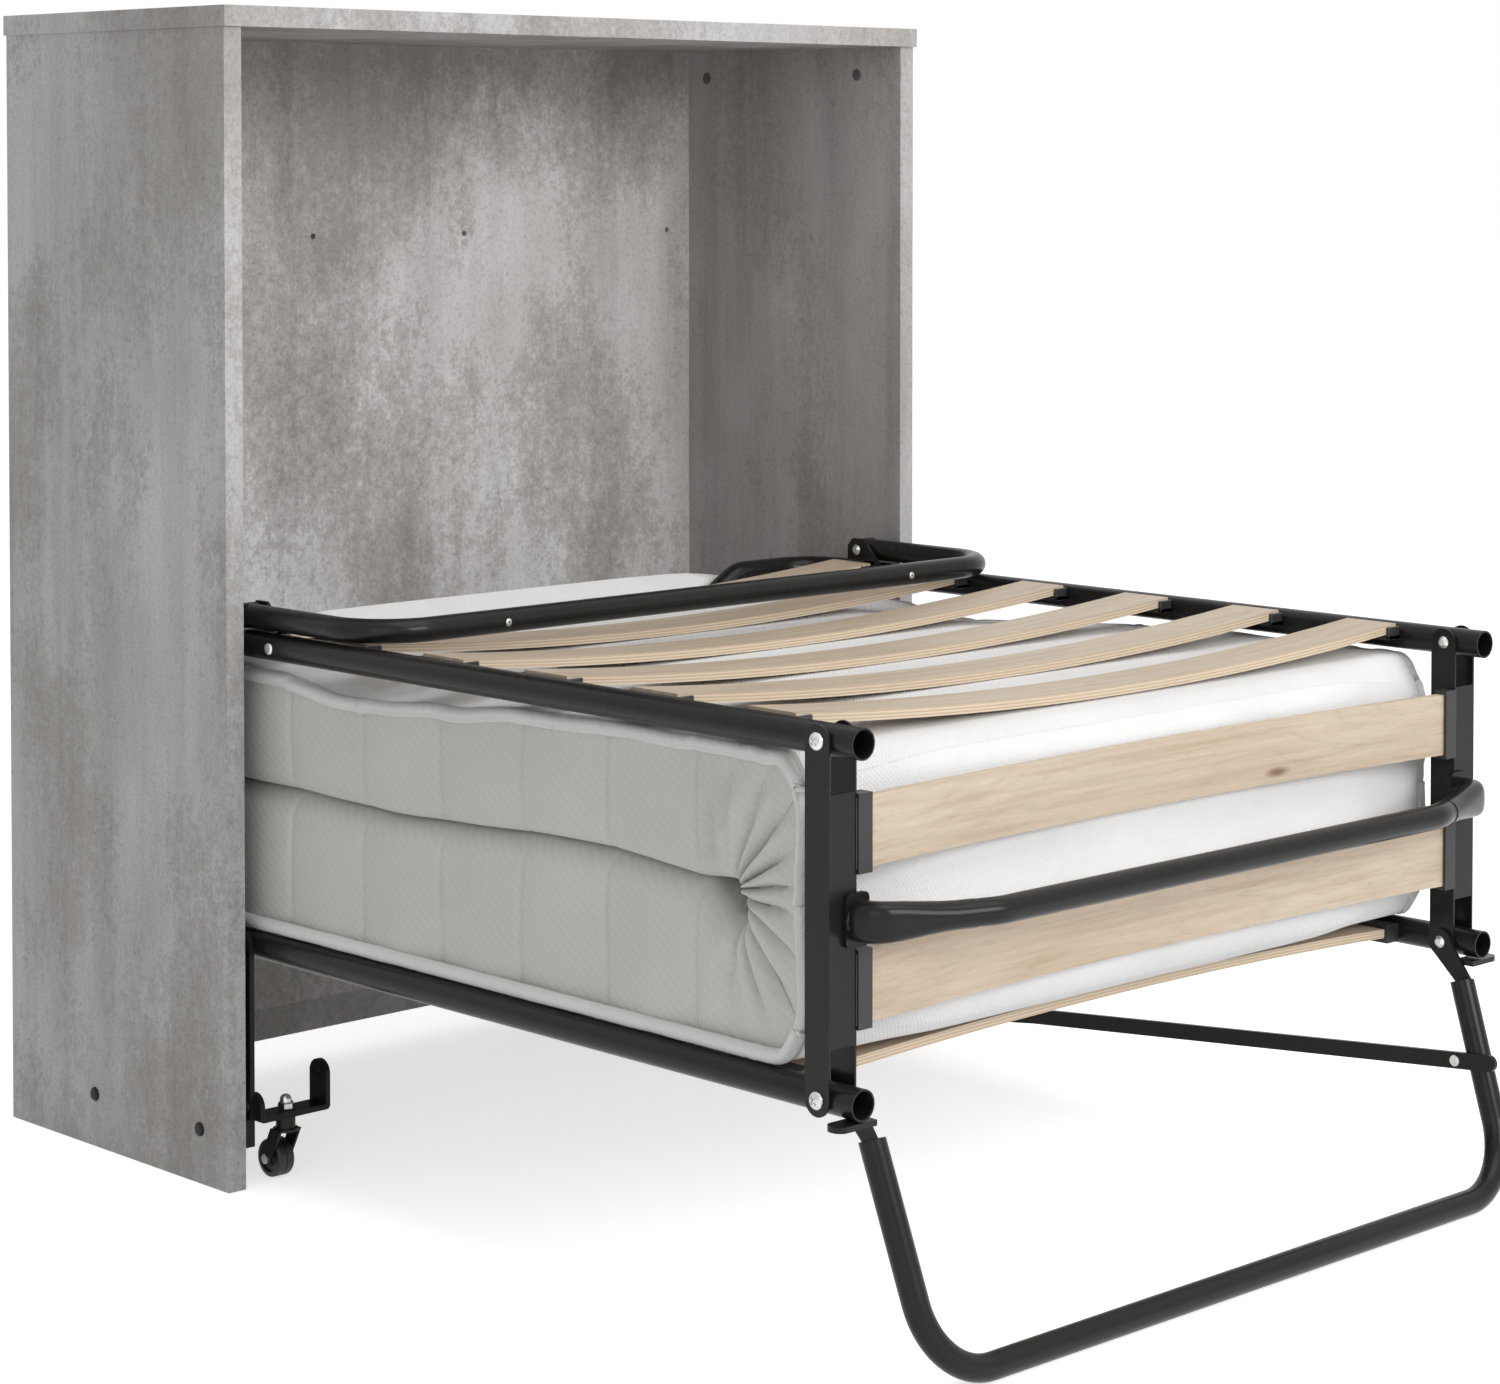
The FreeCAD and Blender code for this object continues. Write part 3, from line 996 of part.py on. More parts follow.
make_leg_plates(make_front_leg())
make_stop_shelves()
make_strut()
LEG_STRUT_X = "(%s - Dims.StrutLegInset)" % HALF
make_strut_pin("strut_leg_pin", "(%s - Dims.StrutEndBack)" % KNEE_Y, "(%s - Dims.StrutEndDrop)" % LOWER_Z,
               LEG_STRUT_X + " - Dims.StrutThick / 2 - Dims.HeadPlay",
               LEG_STRUT_X + " + Dims.StrutThick / 2 + Dims.HeadPlay",
               True, False)
make_strut_pin("strut_base_pin", "Dims.ArmMiddleY", "Dims.StrutPivotZ",
               "(%s - Dims.PieceGap - Dims.StrutThick - Dims.HeadPlay)" % ARM_IN, "(%s + Dims.BarThick)" % ARM_IN,
               True, True)
make_foot_bracket("foot_bracket_left", -1)
make_foot_bracket("foot_bracket_right", 1)
make_pivot_rivets("foot_leg_rivets", "Dims.FootPivotY",
                  "(%s + Dims.RailRadius + Dims.BentTubeRadius + Dims.FootLift)" % UPPER_Z,
                  "(%s - Dims.RailRadius - Dims.PieceGap - Dims.PlateThick - Dims.HeadPlay)" % RAIL_X,
                  "(%s + Dims.BentTubeRadius + Dims.HeadPlay)" % RAIL_X)
make_foot_leg()
make_mattress()

doc.recompute()
faults = []
for item in doc.Objects:
    if "Invalid" in item.State or "Error" in item.State:
        faults.append(item.Name)
for node in NODES:
    if node.Shape.isNull() or not node.Shape.isValid() or not node.Shape.Solids:
        faults.append(node.Label)
if faults:
    raise RuntimeError("not built: " + ", ".join(faults))
for node in NODES:
    node.Shape.exportStep("parts/" + node.Label + ".step")
print("nodes:", len(NODES))
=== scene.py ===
# Cabinet bed, half folded out of its open-front cabinet.
# Metres, in the model's own frame: X across the cabinet, Y towards its back, Z up.
import bpy
import bmesh
import json
import math
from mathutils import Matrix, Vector, noise


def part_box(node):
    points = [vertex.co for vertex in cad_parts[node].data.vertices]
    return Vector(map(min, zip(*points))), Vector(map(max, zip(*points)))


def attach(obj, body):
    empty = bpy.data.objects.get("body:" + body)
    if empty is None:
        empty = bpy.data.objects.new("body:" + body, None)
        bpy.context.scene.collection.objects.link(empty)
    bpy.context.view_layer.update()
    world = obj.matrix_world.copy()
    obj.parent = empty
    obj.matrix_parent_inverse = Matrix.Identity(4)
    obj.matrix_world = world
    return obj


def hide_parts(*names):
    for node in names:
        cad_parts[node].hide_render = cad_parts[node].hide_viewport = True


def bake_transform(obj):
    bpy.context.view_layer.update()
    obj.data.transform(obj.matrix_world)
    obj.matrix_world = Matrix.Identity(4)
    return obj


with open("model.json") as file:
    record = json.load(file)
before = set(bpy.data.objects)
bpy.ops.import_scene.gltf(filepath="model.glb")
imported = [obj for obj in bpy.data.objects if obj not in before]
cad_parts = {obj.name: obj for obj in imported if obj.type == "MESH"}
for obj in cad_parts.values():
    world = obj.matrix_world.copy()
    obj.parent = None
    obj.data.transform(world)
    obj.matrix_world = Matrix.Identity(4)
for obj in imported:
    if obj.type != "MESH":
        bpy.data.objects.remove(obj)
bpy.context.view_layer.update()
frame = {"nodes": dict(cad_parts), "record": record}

MM = 0.001
LEFT, RIGHT = -1, 1
SIDES = (("left", LEFT), ("right", RIGHT))
TUBE_RADIUS = 12.5 * MM
SLAT_THICK = 8 * MM
PLY_LAYER = 2.7 * MM


def joint_place(name):
    """Where a joint of the record turns, in the frame."""
    for joint in frame["record"]["behaviour"]["joints"]:
        if joint["name"] == name:
            return Vector(joint["pos_m"])
    raise ValueError(name)


LOW_KNEE = joint_place("middle_fold")
HIGH_KNEE = joint_place("foot_fold")
FOOT_PIVOT = joint_place("foot_leg_fold")
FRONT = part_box("side_panel_left")[0].y
SIDE_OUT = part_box("side_panel_right")[1].x
SIDE_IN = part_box("side_panel_right")[0].x
RAIL_X = (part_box("lower_frame_tube")[1].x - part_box("lower_frame_tube")[0].x) / 2 - TUBE_RADIUS


# ---- materials

# Colours go from dark to pale, each at its place on the pattern that steers it.
CONCRETE_TONES = [(0.34, (0.432, 0.412, 0.402)), (0.47, (0.52, 0.503, 0.500)),
                  (0.56, (0.588, 0.572, 0.580)), (0.70, (0.66, 0.645, 0.665))]
# Brown of the print's wear; on the back panel it also serves as painted shade towards the top.
WEAR_AND_SHADE_BROWN = (0.30, 0.278, 0.252)
PIT_BROWN = (0.24, 0.205, 0.17)
# Height over which painted shade comes in at the top of the back panel.
PAINTED_SHADE_BAND = 0.26
BEECH_FACE = [(0.30, (0.50, 0.385, 0.275)), (0.48, (0.57, 0.465, 0.35)), (0.70, (0.63, 0.53, 0.415))]
BEECH_EDGE = [(0.0, (0.64, 0.52, 0.39)), (0.42, (0.68, 0.565, 0.43)), (0.52, (0.49, 0.37, 0.25)),
              (0.94, (0.53, 0.41, 0.29))]
KNOT_BROWN = (0.22, 0.13, 0.075)
PALEST = 0.86


def node(tree, kind, inputs=None, **settings):
    """Adds a shader node; an input is a plain value or the socket that feeds it."""
    item = tree.nodes.new(kind)
    for key, value in settings.items():
        setattr(item, key, value)
    for key, value in (inputs or {}).items():
        if isinstance(value, bpy.types.NodeSocket):
            tree.links.new(value, item.inputs[key])
        else:
            item.inputs[key].default_value = value
    return item


def new_material(name, roughness, metallic=0.0):
    """A new material with its node tree and its shader."""
    material = bpy.data.materials.new(name)
    material.use_nodes = True
    tree = material.node_tree
    shader = tree.nodes["Principled BSDF"]
    shader.inputs["Roughness"].default_value = roughness
    shader.inputs["Metallic"].default_value = metallic
    return material, tree, shader


def coords(tree, kind="Object", scale=(1, 1, 1), turn=(0, 0, 0)):
    """Places on the surface, stretched and turned for a pattern."""
    source = node(tree, "ShaderNodeTexCoord").outputs[kind]
    mapping = node(tree, "ShaderNodeMapping", {"Vector": source, "Scale": scale, "Rotation": turn})
    return mapping.outputs["Vector"]


def cloud(tree, vector, scale, detail=4.0, roughness=0.55):
    """Soft irregular noise from 0 to 1."""
    return node(tree, "ShaderNodeTexNoise", {"Vector": vector, "Scale": scale, "Detail": detail,
                                             "Roughness": roughness}).outputs["Fac"]


def stripes(tree, vector, scale, distortion=0.0):
    """Even ribs, wavering by distortion."""
    return node(tree, "ShaderNodeTexWave", {"Vector": vector, "Scale": scale, "Distortion": distortion,
                                            "Detail": 2.0}, wave_profile="SIN").outputs["Fac"]


def ramp(tree, fac, stops):
    """Colour ramp; stops are (place, grey level or colour)."""
    item = node(tree, "ShaderNodeValToRGB", {"Fac": fac})
    elements = item.color_ramp.elements
    while len(elements) < len(stops):
        elements.new(0.5)
    for element, (place, colour) in zip(elements, stops):
        element.position = place
        element.color = (colour, colour, colour, 1) if isinstance(colour, float) else (*colour, 1)
    return item.outputs["Color"]


def mix(tree, fac, a, b, kind="MIX"):
    """Blends b over a; each is a colour or a socket."""
    item = tree.nodes.new("ShaderNodeMix")
    item.data_type = "RGBA"
    item.blend_type = kind
    for index, value in ((0, fac), (6, a), (7, b)):
        if isinstance(value, bpy.types.NodeSocket):
            tree.links.new(value, item.inputs[index])
        elif index:
            item.inputs[index].default_value = (*value, 1)
        else:
            item.inputs[index].default_value = value
    return item.outputs[2]


def math_node(tree, operation, a, b=0.0, c=0.0):
    """One step of arithmetic on sockets or numbers."""
    return node(tree, "ShaderNodeMath", {0: a, 1: b, 2: c}, operation=operation).outputs[0]


def bump(tree, shader, height, strength, distance, below=None):
    """Fine relief on the shader; below is a coarser or finer relief under it."""
    inputs = {"Height": height, "Strength": strength, "Distance": distance}
    if below is not None:
        inputs["Normal"] = below
    item = node(tree, "ShaderNodeBump", inputs)
    tree.links.new(item.outputs["Normal"], shader.inputs["Normal"])
    return item.outputs["Normal"]


def two_tone(tree, fac, colour, dark, light):
    """A colour that drifts between a darker and a lighter share of itself."""
    shades = [tuple(min(c * share, PALEST) for c in colour) for share in (dark, light)]
    return ramp(tree, fac, [(0.3, shades[0]), (0.7, shades[1])])


def varied_roughness(tree, shader, fac, low, high):
    """Roughness that follows a pattern between two levels."""
    level = node(tree, "ShaderNodeMapRange", {"Value": fac, "To Min": low, "To Max": high})
    tree.links.new(level.outputs["Result"], shader.inputs["Roughness"])


def concrete_material(name, lift, painted_shade_from=0.0):
    """Laminate with a print of cast concrete: pale clouds, brown wear, upright smears, specks, pits.

    lift scales its tones, and the back panel's higher lift paints light; above a given height, where one is
    given, brown is added denser towards the top as painted shade.
    """
    material, tree, shader = new_material(name, 0.6)
    broad = cloud(tree, coords(tree, scale=(1, 1, 0.55)), 3.4, 8.0, 0.62)
    tones = [(place, tuple(c * lift for c in colour)) for place, colour in CONCRETE_TONES]
    tone = ramp(tree, broad, tones)
    patch = cloud(tree, coords(tree, scale=(1.5, 1.5, 0.8)), 3.9, 6.0, 0.58)
    sand = cloud(tree, coords(tree, scale=(1, 1, 0.8)), 120.0, 5.0, 0.85)
    worn = math_node(tree, "MULTIPLY_ADD", sand, 0.42, math_node(tree, "MULTIPLY", patch, 0.58))
    # Painted shade: above the given height the brown wear mask gets denser towards the top, so the wear
    # mask below carries both wear and painted shade.
    if painted_shade_from:
        rise = node(tree, "ShaderNodeSeparateXYZ", {"Vector": coords(tree)}).outputs["Z"]
        band = {"Value": rise, "From Min": painted_shade_from, "From Max": painted_shade_from + PAINTED_SHADE_BAND, "To Max": 0.12}
        worn = math_node(tree, "ADD", worn, node(tree, "ShaderNodeMapRange", band).outputs["Result"])
    wear_and_painted_shade = ramp(tree, worn, [(0.485, 0.0), (0.53, 0.42), (0.62, 0.85)])
    tone = mix(tree, wear_and_painted_shade, tone, WEAR_AND_SHADE_BROWN)
    smear = cloud(tree, coords(tree, scale=(17, 17, 1.1)), 1.0, 7.0, 0.68)
    tone = mix(tree, 0.75, tone, ramp(tree, smear, [(0.34, 0.72), (0.56, 1.0)]), "MULTIPLY")
    speck = ramp(tree, cloud(tree, coords(tree), 260.0, 3.0, 0.75), [(0.36, 0.66), (0.52, 1.0)])
    tone = mix(tree, 0.5, tone, speck, "MULTIPLY")
    pits = node(tree, "ShaderNodeTexVoronoi", {"Vector": coords(tree, scale=(1, 1, 0.8)), "Scale": 85.0})
    dots = ramp(tree, pits.outputs["Distance"], [(0.10, 1.0), (0.19, 0.0)])
    few = ramp(tree, cloud(tree, coords(tree), 6.0, 3.0, 0.6), [(0.56, 0.0), (0.66, 1.0)])
    dots = mix(tree, 1.0, mix(tree, 1.0, dots, few, "MULTIPLY"), (0.55, 0.55, 0.55), "MULTIPLY")
    tree.links.new(mix(tree, dots, tone, PIT_BROWN), shader.inputs["Base Color"])
    varied_roughness(tree, shader, broad, 0.50, 0.68)
    bump(tree, shader, speck, 0.12, 0.0004)
    return material


def coated_material(name, colour, roughness, metallic, gloss):
    """Powder-coated steel with a fine orange peel."""
    material, tree, shader = new_material(name, roughness, metallic)
    shader.inputs["Coat Weight"].default_value = gloss
    shader.inputs["Coat Roughness"].default_value = 0.10
    shader.inputs["Specular IOR Level"].default_value = 0.13
    patch = cloud(tree, coords(tree), 9.0, 4.0)
    tone = two_tone(tree, patch, colour, 0.86, 1.14)
    grains = ramp(tree, cloud(tree, coords(tree), 1500.0, 2.0), [(0.42, 0.82), (0.6, 1.0)])
    tree.links.new(mix(tree, 0.5, tone, grains, "MULTIPLY"), shader.inputs["Base Color"])
    varied_roughness(tree, shader, patch, roughness - 0.05, roughness + 0.07)
    bump(tree, shader, cloud(tree, coords(tree), 650.0, 2.0), 0.10, 0.0003)
    return material


def plastic_material(name, colour, roughness):
    """Moulded plastic with an eroded grain."""
    material, tree, shader = new_material(name, roughness)
    patch = cloud(tree, coords(tree), 30.0, 3.0)
    tree.links.new(two_tone(tree, patch, colour, 0.8, 1.2), shader.inputs["Base Color"])
    varied_roughness(tree, shader, patch, roughness - 0.06, roughness + 0.08)
    bump(tree, shader, cloud(tree, coords(tree), 1100.0, 3.0), 0.25, 0.0003)
    return material


def zinc_material():
    """Bright zinc with turning marks and dull patches."""
    material, tree, shader = new_material("rivet_zinc", 0.3, 1.0)
    patch = cloud(tree, coords(tree), 220.0, 4.0)
    tree.links.new(ramp(tree, patch, [(0.3, (0.50, 0.50, 0.49)), (0.7, (0.72, 0.72, 0.71))]),
                   shader.inputs["Base Color"])
    varied_roughness(tree, shader, patch, 0.2, 0.42)
    bump(tree, shader, cloud(tree, coords(tree, scale=(1, 1, 6)), 900.0, 2.0), 0.08, 0.0002)
    return material


def slat_material(name, upright, bow):
    """Bent beech ply: long grain on the faces, veneer layers on the long edges, a few small knots."""
    material, tree, shader = new_material(name, 0.48)
    seed = node(tree, "ShaderNodeObjectInfo").outputs["Random"]
    shift = math_node(tree, "MULTIPLY", seed, 9.0)
    place = node(tree, "ShaderNodeTexCoord")
    spread = node(tree, "ShaderNodeCombineXYZ", {"X": shift, "Y": shift, "Z": shift}).outputs[0]
    moved = node(tree, "ShaderNodeVectorMath", {0: place.outputs["Object"], 1: spread}, operation="ADD")
    long_map, broad_map, fleck_map, knot_map = [
        node(tree, "ShaderNodeMapping", {"Vector": moved.outputs[0], "Scale": scale}).outputs[0]
        for scale in ((0.9, 75, 75), (1.7, 11, 11), (60, 420, 420), (3.0, 11, 11))]
    grain = cloud(tree, long_map, 2.0, 5.0, 0.6)
    broad = cloud(tree, broad_map, 1.0, 3.0, 0.45)
    rings = math_node(tree, "FRACT", math_node(tree, "MULTIPLY", broad, 17.0))
    arches = ramp(tree, rings, [(0.0, 0.90), (0.35, 1.0), (0.86, 0.97), (1.0, 0.84)])
    face = mix(tree, 0.6, ramp(tree, grain, BEECH_FACE), arches, "MULTIPLY")
    stain = ramp(tree, broad, [(0.38, (0.86, 0.80, 0.76)), (0.55, (1.0, 1.0, 1.0))])
    face = mix(tree, 0.7, face, stain, "MULTIPLY")
    flecks = ramp(tree, cloud(tree, fleck_map, 1.0, 2.0), [(0.30, 0.80), (0.45, 1.0)])
    face = mix(tree, 0.45, face, flecks, "MULTIPLY")
    knots = node(tree, "ShaderNodeTexVoronoi", {"Vector": knot_map, "Scale": 1.0}).outputs["Distance"]
    face = mix(tree, ramp(tree, knots, [(0.02, 1.0), (0.06, 0.0)]), face, KNOT_BROWN)
    parts = node(tree, "ShaderNodeSeparateXYZ", {"Vector": place.outputs["Object"]})
    across = math_node(tree, "MULTIPLY", parts.outputs["X"], parts.outputs["X"])
    depth = math_node(tree, "MULTIPLY_ADD", across, bow, parts.outputs["Y" if upright else "Z"])
    layer = math_node(tree, "FRACT", math_node(tree, "MULTIPLY", depth, 1 / PLY_LAYER))
    edge = mix(tree, 0.35, ramp(tree, layer, BEECH_EDGE), flecks, "MULTIPLY")
    normal = node(tree, "ShaderNodeSeparateXYZ", {"Vector": place.outputs["Normal"]})
    sideways = math_node(tree, "ABSOLUTE", normal.outputs["Z" if upright else "Y"])
    on_edge = math_node(tree, "GREATER_THAN", sideways, 0.6)
    tree.links.new(mix(tree, on_edge, face, edge), shader.inputs["Base Color"])
    varied_roughness(tree, shader, grain, 0.40, 0.58)
    bump(tree, shader, grain, 0.15, 0.0004)
    return material


def cloth_material(name, colour, twill, soft):
    """Knitted cover: twill or diamond weave from the surface's own lengths, soft sheen."""
    material, tree, shader = new_material(name, 0.92)
    shader.inputs["Sheen Weight"].default_value = 0.25
    # Direction in degrees, ribs per metre and waver of each of the two sets of ribs.
    ribs = ((52, 42.0, 1.8), (-38, 120.0, 1.2)) if twill else ((45, 110.0, 0.3), (-45, 110.0, 0.3))
    rib, other = [stripes(tree, coords(tree, "UV", turn=(0, 0, math.radians(turn))), count, waver)
                  for turn, count, waver in ribs]
    weave = mix(tree, 0.4, rib, other) if twill else mix(tree, 1.0, rib, other, "MULTIPLY")
    patch = cloud(tree, coords(tree, "UV"), 7.0, 5.0)
    tone = two_tone(tree, patch, colour, 0.94, 1.04)
    tone = mix(tree, soft, tone, ramp(tree, weave, [(0.2, 0.84), (0.8, 1.0)]), "MULTIPLY")
    tree.links.new(tone, shader.inputs["Base Color"])
    fuzz = bump(tree, shader, cloud(tree, coords(tree, "UV"), 1400.0, 2.0), 0.18, 0.0004)
    bump(tree, shader, weave, 0.45, 0.0009, fuzz)
    return material


CONCRETE = concrete_material("concrete_board", 0.91)
# The back panel's copy is paler than the boards as painted light, and browner towards its top as painted
# shade.
BACK_CONCRETE_PAINTED_LIGHT_AND_SHADE = concrete_material("concrete_back_painted_light_and_shade", 1.22, 0.80)
FRAME_COAT = coated_material("frame_coat", (0.0135, 0.0126, 0.0118), 0.27, 0.0, 0.13)
BLACK_COAT = coated_material("black_coat", (0.012, 0.012, 0.0125), 0.36, 0.1, 0.08)
FORK_COAT = coated_material("caster_metal", (0.035, 0.032, 0.029), 0.42, 0.6, 0.0)
HOLDER = plastic_material("holder_plastic", (0.018, 0.018, 0.019), 0.46)
WHEEL = plastic_material("caster_wheel", (0.014, 0.014, 0.014), 0.42)
CAP = plastic_material("cap_plastic", (0.11, 0.105, 0.10), 0.5)
ZINC = zinc_material()
KNIT = cloth_material("mattress_knit", (0.60, 0.61, 0.575), True, 0.34)
TICKING = cloth_material("mattress_ticking", (0.80, 0.80, 0.80), False, 0.32)
PIPING = cloth_material("mattress_piping", (0.74, 0.745, 0.73), True, 0.12)


# ---- dressing the CAD nodes

def slat_bow(name):
    """Curvature of a slat's layers, from its box: sag over the square of its half length."""
    low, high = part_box(name)
    upright = name.startswith("middle")
    size = (high.y - low.y) if upright else (high.z - low.z)
    return (size - SLAT_THICK) / ((high.x - low.x) / 2) ** 2


def soften(item, width, angle=40):
    """Smooth shading inside the sharp edges, and a small worn edge on them."""
    for polygon in item.data.polygons:
        polygon.use_smooth = True
    item.data.set_sharp_from_angle(angle=math.radians(angle))
    if width:
        bevel = item.modifiers.new("worn_edge", "BEVEL")
        bevel.width = width
        bevel.segments = 2
        bevel.limit_method = "ANGLE"
        bevel.angle_limit = math.radians(50)
        bevel.harden_normals = False


def dress_nodes():
    """Gives every CAD node its material and worn edges, by the record's slots."""
    slots = {part["node"]: part["material_slot"] for part in frame["record"]["subparts"]}
    # Material and width of the worn edge of each slot.
    finishes = {
        "concrete_board": (CONCRETE, 0.7 * MM),
        "frame_coat": (FRAME_COAT, 0),
        "black_coat": (BLACK_COAT, 0.6 * MM),
        "holder_plastic": (HOLDER, 1.6 * MM),
        "rivet_zinc": (ZINC, 0),
        "caster_metal": (FORK_COAT, 0),
        "caster_wheel": (WHEEL, 0),
        "mattress_cloth": (KNIT, 0),
    }
    for name, item in frame["nodes"].items():
        if slots[name] == "slat_ply":
            bow = slat_bow(name)
            bow = -bow if name.startswith("upper") else bow
            finish = slat_material("ply_" + name, name.startswith("middle"), bow)
            width = 1.4 * MM
        else:
            finish, width = finishes[slots[name]]
        item.data.materials.clear()
        # The back panel gets the concrete copy that carries painted light and painted shade.
        item.data.materials.append(BACK_CONCRETE_PAINTED_LIGHT_AND_SHADE if name == "back_panel" else finish)
        soften(item, width)


# ---- mesh helpers

def add_object(name, data):
    """A new object in the scene."""
    item = bpy.data.objects.new(name, data)
    bpy.context.scene.collection.objects.link(item)
    return item


def mesh_piece(name, points, faces, materials, body=None, uvs=None, marks=None):
    """Object from points and faces; uvs are per point, marks give each face its material."""
    mesh = bpy.data.meshes.new(name)
    mesh.from_pydata([tuple(p) for p in points], [], faces)
    for material in materials:
        mesh.materials.append(material)
    if uvs:
        layer = mesh.uv_layers.new(name="UVMap")
        for loop in mesh.loops:
            layer.data[loop.index].uv = uvs[loop.vertex_index]
    for polygon in mesh.polygons:
        polygon.use_smooth = True
        if marks:
            polygon.material_index = marks[polygon.index]
    shell = bmesh.new()
    shell.from_mesh(mesh)
    bmesh.ops.recalc_face_normals(shell, faces=shell.faces)
    shell.to_mesh(mesh)
    shell.free()
    piece = add_object(name, mesh)
    if body:
        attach(piece, body)
    return piece


def tube_faces(rings, count):
    """Faces of a closed tube: rings of count points joined one after the other, and a cap at each end."""
    faces = []
    for k in range(rings - 1):
        for i in range(count):
            j = (i + 1) % count
            faces.append((k * count + i, k * count + j, (k + 1) * count + j, (k + 1) * count + i))
    faces.append(tuple(range(count))[::-1])
    faces.append(tuple(range((rings - 1) * count, rings * count)))
    return faces


def lathe(name, profile, centre, axis, material, body, segments=40):
    """Turned piece; profile is (distance along the axis, radius), from one end to the other."""
    axis = Vector(axis).normalized()
    side = axis.orthogonal().normalized()
    up = axis.cross(side)
    points = []
    for along, radius in profile:
        for i in range(segments):
            angle = 2 * math.pi * i / segments
            turn = side * math.cos(angle) + up * math.sin(angle)
            points.append(Vector(centre) + axis * along + turn * radius)
    piece = mesh_piece(name, points, tube_faces(len(profile), segments), [material], body)
    piece.data.set_sharp_from_angle(angle=math.radians(45))
    return piece


def rounded_profile(base, height, radius, rounding, steps=5):
    """Straight-sided disc with a rounded rim at its far end, as a lathe profile."""
    profile = [(base, radius)]
    for i in range(steps + 1):
        angle = math.pi / 2 * i / steps
        profile.append((base + height - rounding + rounding * math.sin(angle),
                        radius - rounding + rounding * math.cos(angle)))
    return profile


def sweep(name, centres, radii, material, body=None, segments=12):
    """Round strip along a line of points, with its own radius at each point."""
    points, uvs = [], []
    side = None
    length = 0.0
    for k, centre in enumerate(centres):
        ahead = (centres[min(k + 1, len(centres) - 1)] - centres[max(k - 1, 0)]).normalized()
        side = ahead.orthogonal() if side is None else side - ahead * side.dot(ahead)
        side.normalize()
        up = ahead.cross(side)
        length += (centre - centres[k - 1]).length if k else 0.0
        for i in range(segments):
            angle = 2 * math.pi * i / segments
            points.append(centre + (side * math.cos(angle) + up * math.sin(angle)) * radii[k])
            uvs.append((length, radii[k] * angle))
    return mesh_piece(name, points, tube_faces(len(centres), segments), [material], body, uvs)


def smooth(value):
    """Eased step from 0 to 1."""
    value = min(max(value, 0.0), 1.0)
    return value * value * (3 - 2 * value)


def along_curve(stops, place):
    """Smooth height through (place, height) stops given in rising order."""
    if place <= stops[0][0]:
        return stops[0][1]
    for (p0, h0), (p1, h1) in zip(stops, stops[1:]):
        if place <= p1:
            return h0 + (h1 - h0) * smooth((place - p0) / (p1 - p0))
    return stops[-1][1]


# ---- mattress

HALF_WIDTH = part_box("mattress_upper")[1].x
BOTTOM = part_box("mattress_lower")[0].z
TOP = BOTTOM + 246.9 * MM
HUMP_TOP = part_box("mattress_upper")[1].z
UPPER_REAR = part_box("mattress_upper")[1].y
LOWER_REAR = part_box("mattress_lower")[1].y
NOSE_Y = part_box("mattress_fold")[0].y
# The slot between the layers ends in a round hole, the crease.
CREASE_Y = LOW_KNEE.y + 115 * MM
CREASE_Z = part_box("mattress_lower")[1].z + 1.5 * MM
CREASE_HOLE = 6 * MM
SLOT_HALF = 0.6 * MM
SLOT_LIFT = 4 * MM
FLARE_LENGTH = 52 * MM
# The cross bar that presses on the upper layer, and the rail beside the lower one.
BAR_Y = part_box("upper_frame_tube")[1].y - TUBE_RADIUS
BAR_LOW = HIGH_KNEE.z - 42.5 * MM
BAR_DIP_IN, BAR_DIP_OUT = 236 * MM, 300 * MM
LOW_RAIL_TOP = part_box("lower_frame_tube")[1].z
# Sewn seams of the side faces; a seam gets extra stations at these offsets from its middle.
SEAM_FIRST = FRONT - 30 * MM
SEAM_STEP = 108 * MM
SEAM_COUNT = 6
SEAM_LAST = SEAM_FIRST - (SEAM_COUNT - 1) * SEAM_STEP
SEAM_CLEAR = 8.5 * MM
SEAM_WIDTH = 2.6 * MM
SEAM_DEPTH = 3.2 * MM
SEAM_OFFSETS = [offset * MM for offset in (-7, -4.5, -2.6, -1.2, 0, 1.2, 2.6, 4.5, 7)]
SIDE_CROWN = 3.0 * MM
SIDE_INSET = 2.0 * MM
PUFF = 2.2 * MM
EDGE_ROUND = 7 * MM
CLOTH_CLEAR = 0.4 * MM
# The fold: its rounded outline, the gathers round the crease and the pleat hidden on the hinge.
NOSE_CORNER = 6.5
NOSE_RECESS = 17 * MM
GATHERS = 9
GATHER_HIGH = 15 * MM
PLEAT_LENGTH = 0.16
HINGE_BAND = 0.5 * MM
PIPING_RADIUS = 6.2 * MM
# Stations of the straight layer, of the fan on either side of the pleat, and of the pleat.
LAYER_STATIONS, FAN_STATIONS, NOSE_STATIONS, PLEAT_STATIONS = 62, 26, 33, 16
RING_X, RING_Q = 44, 20
# Height of the upper layer's outer edge over the distance in front of the cabinet's front edge.
TOP_EDGE = [(-0.15, 0.478), (0.0, 0.472), (0.112, 0.459), (0.25, 0.467), (0.36, 0.476), (0.46, 0.4785)]


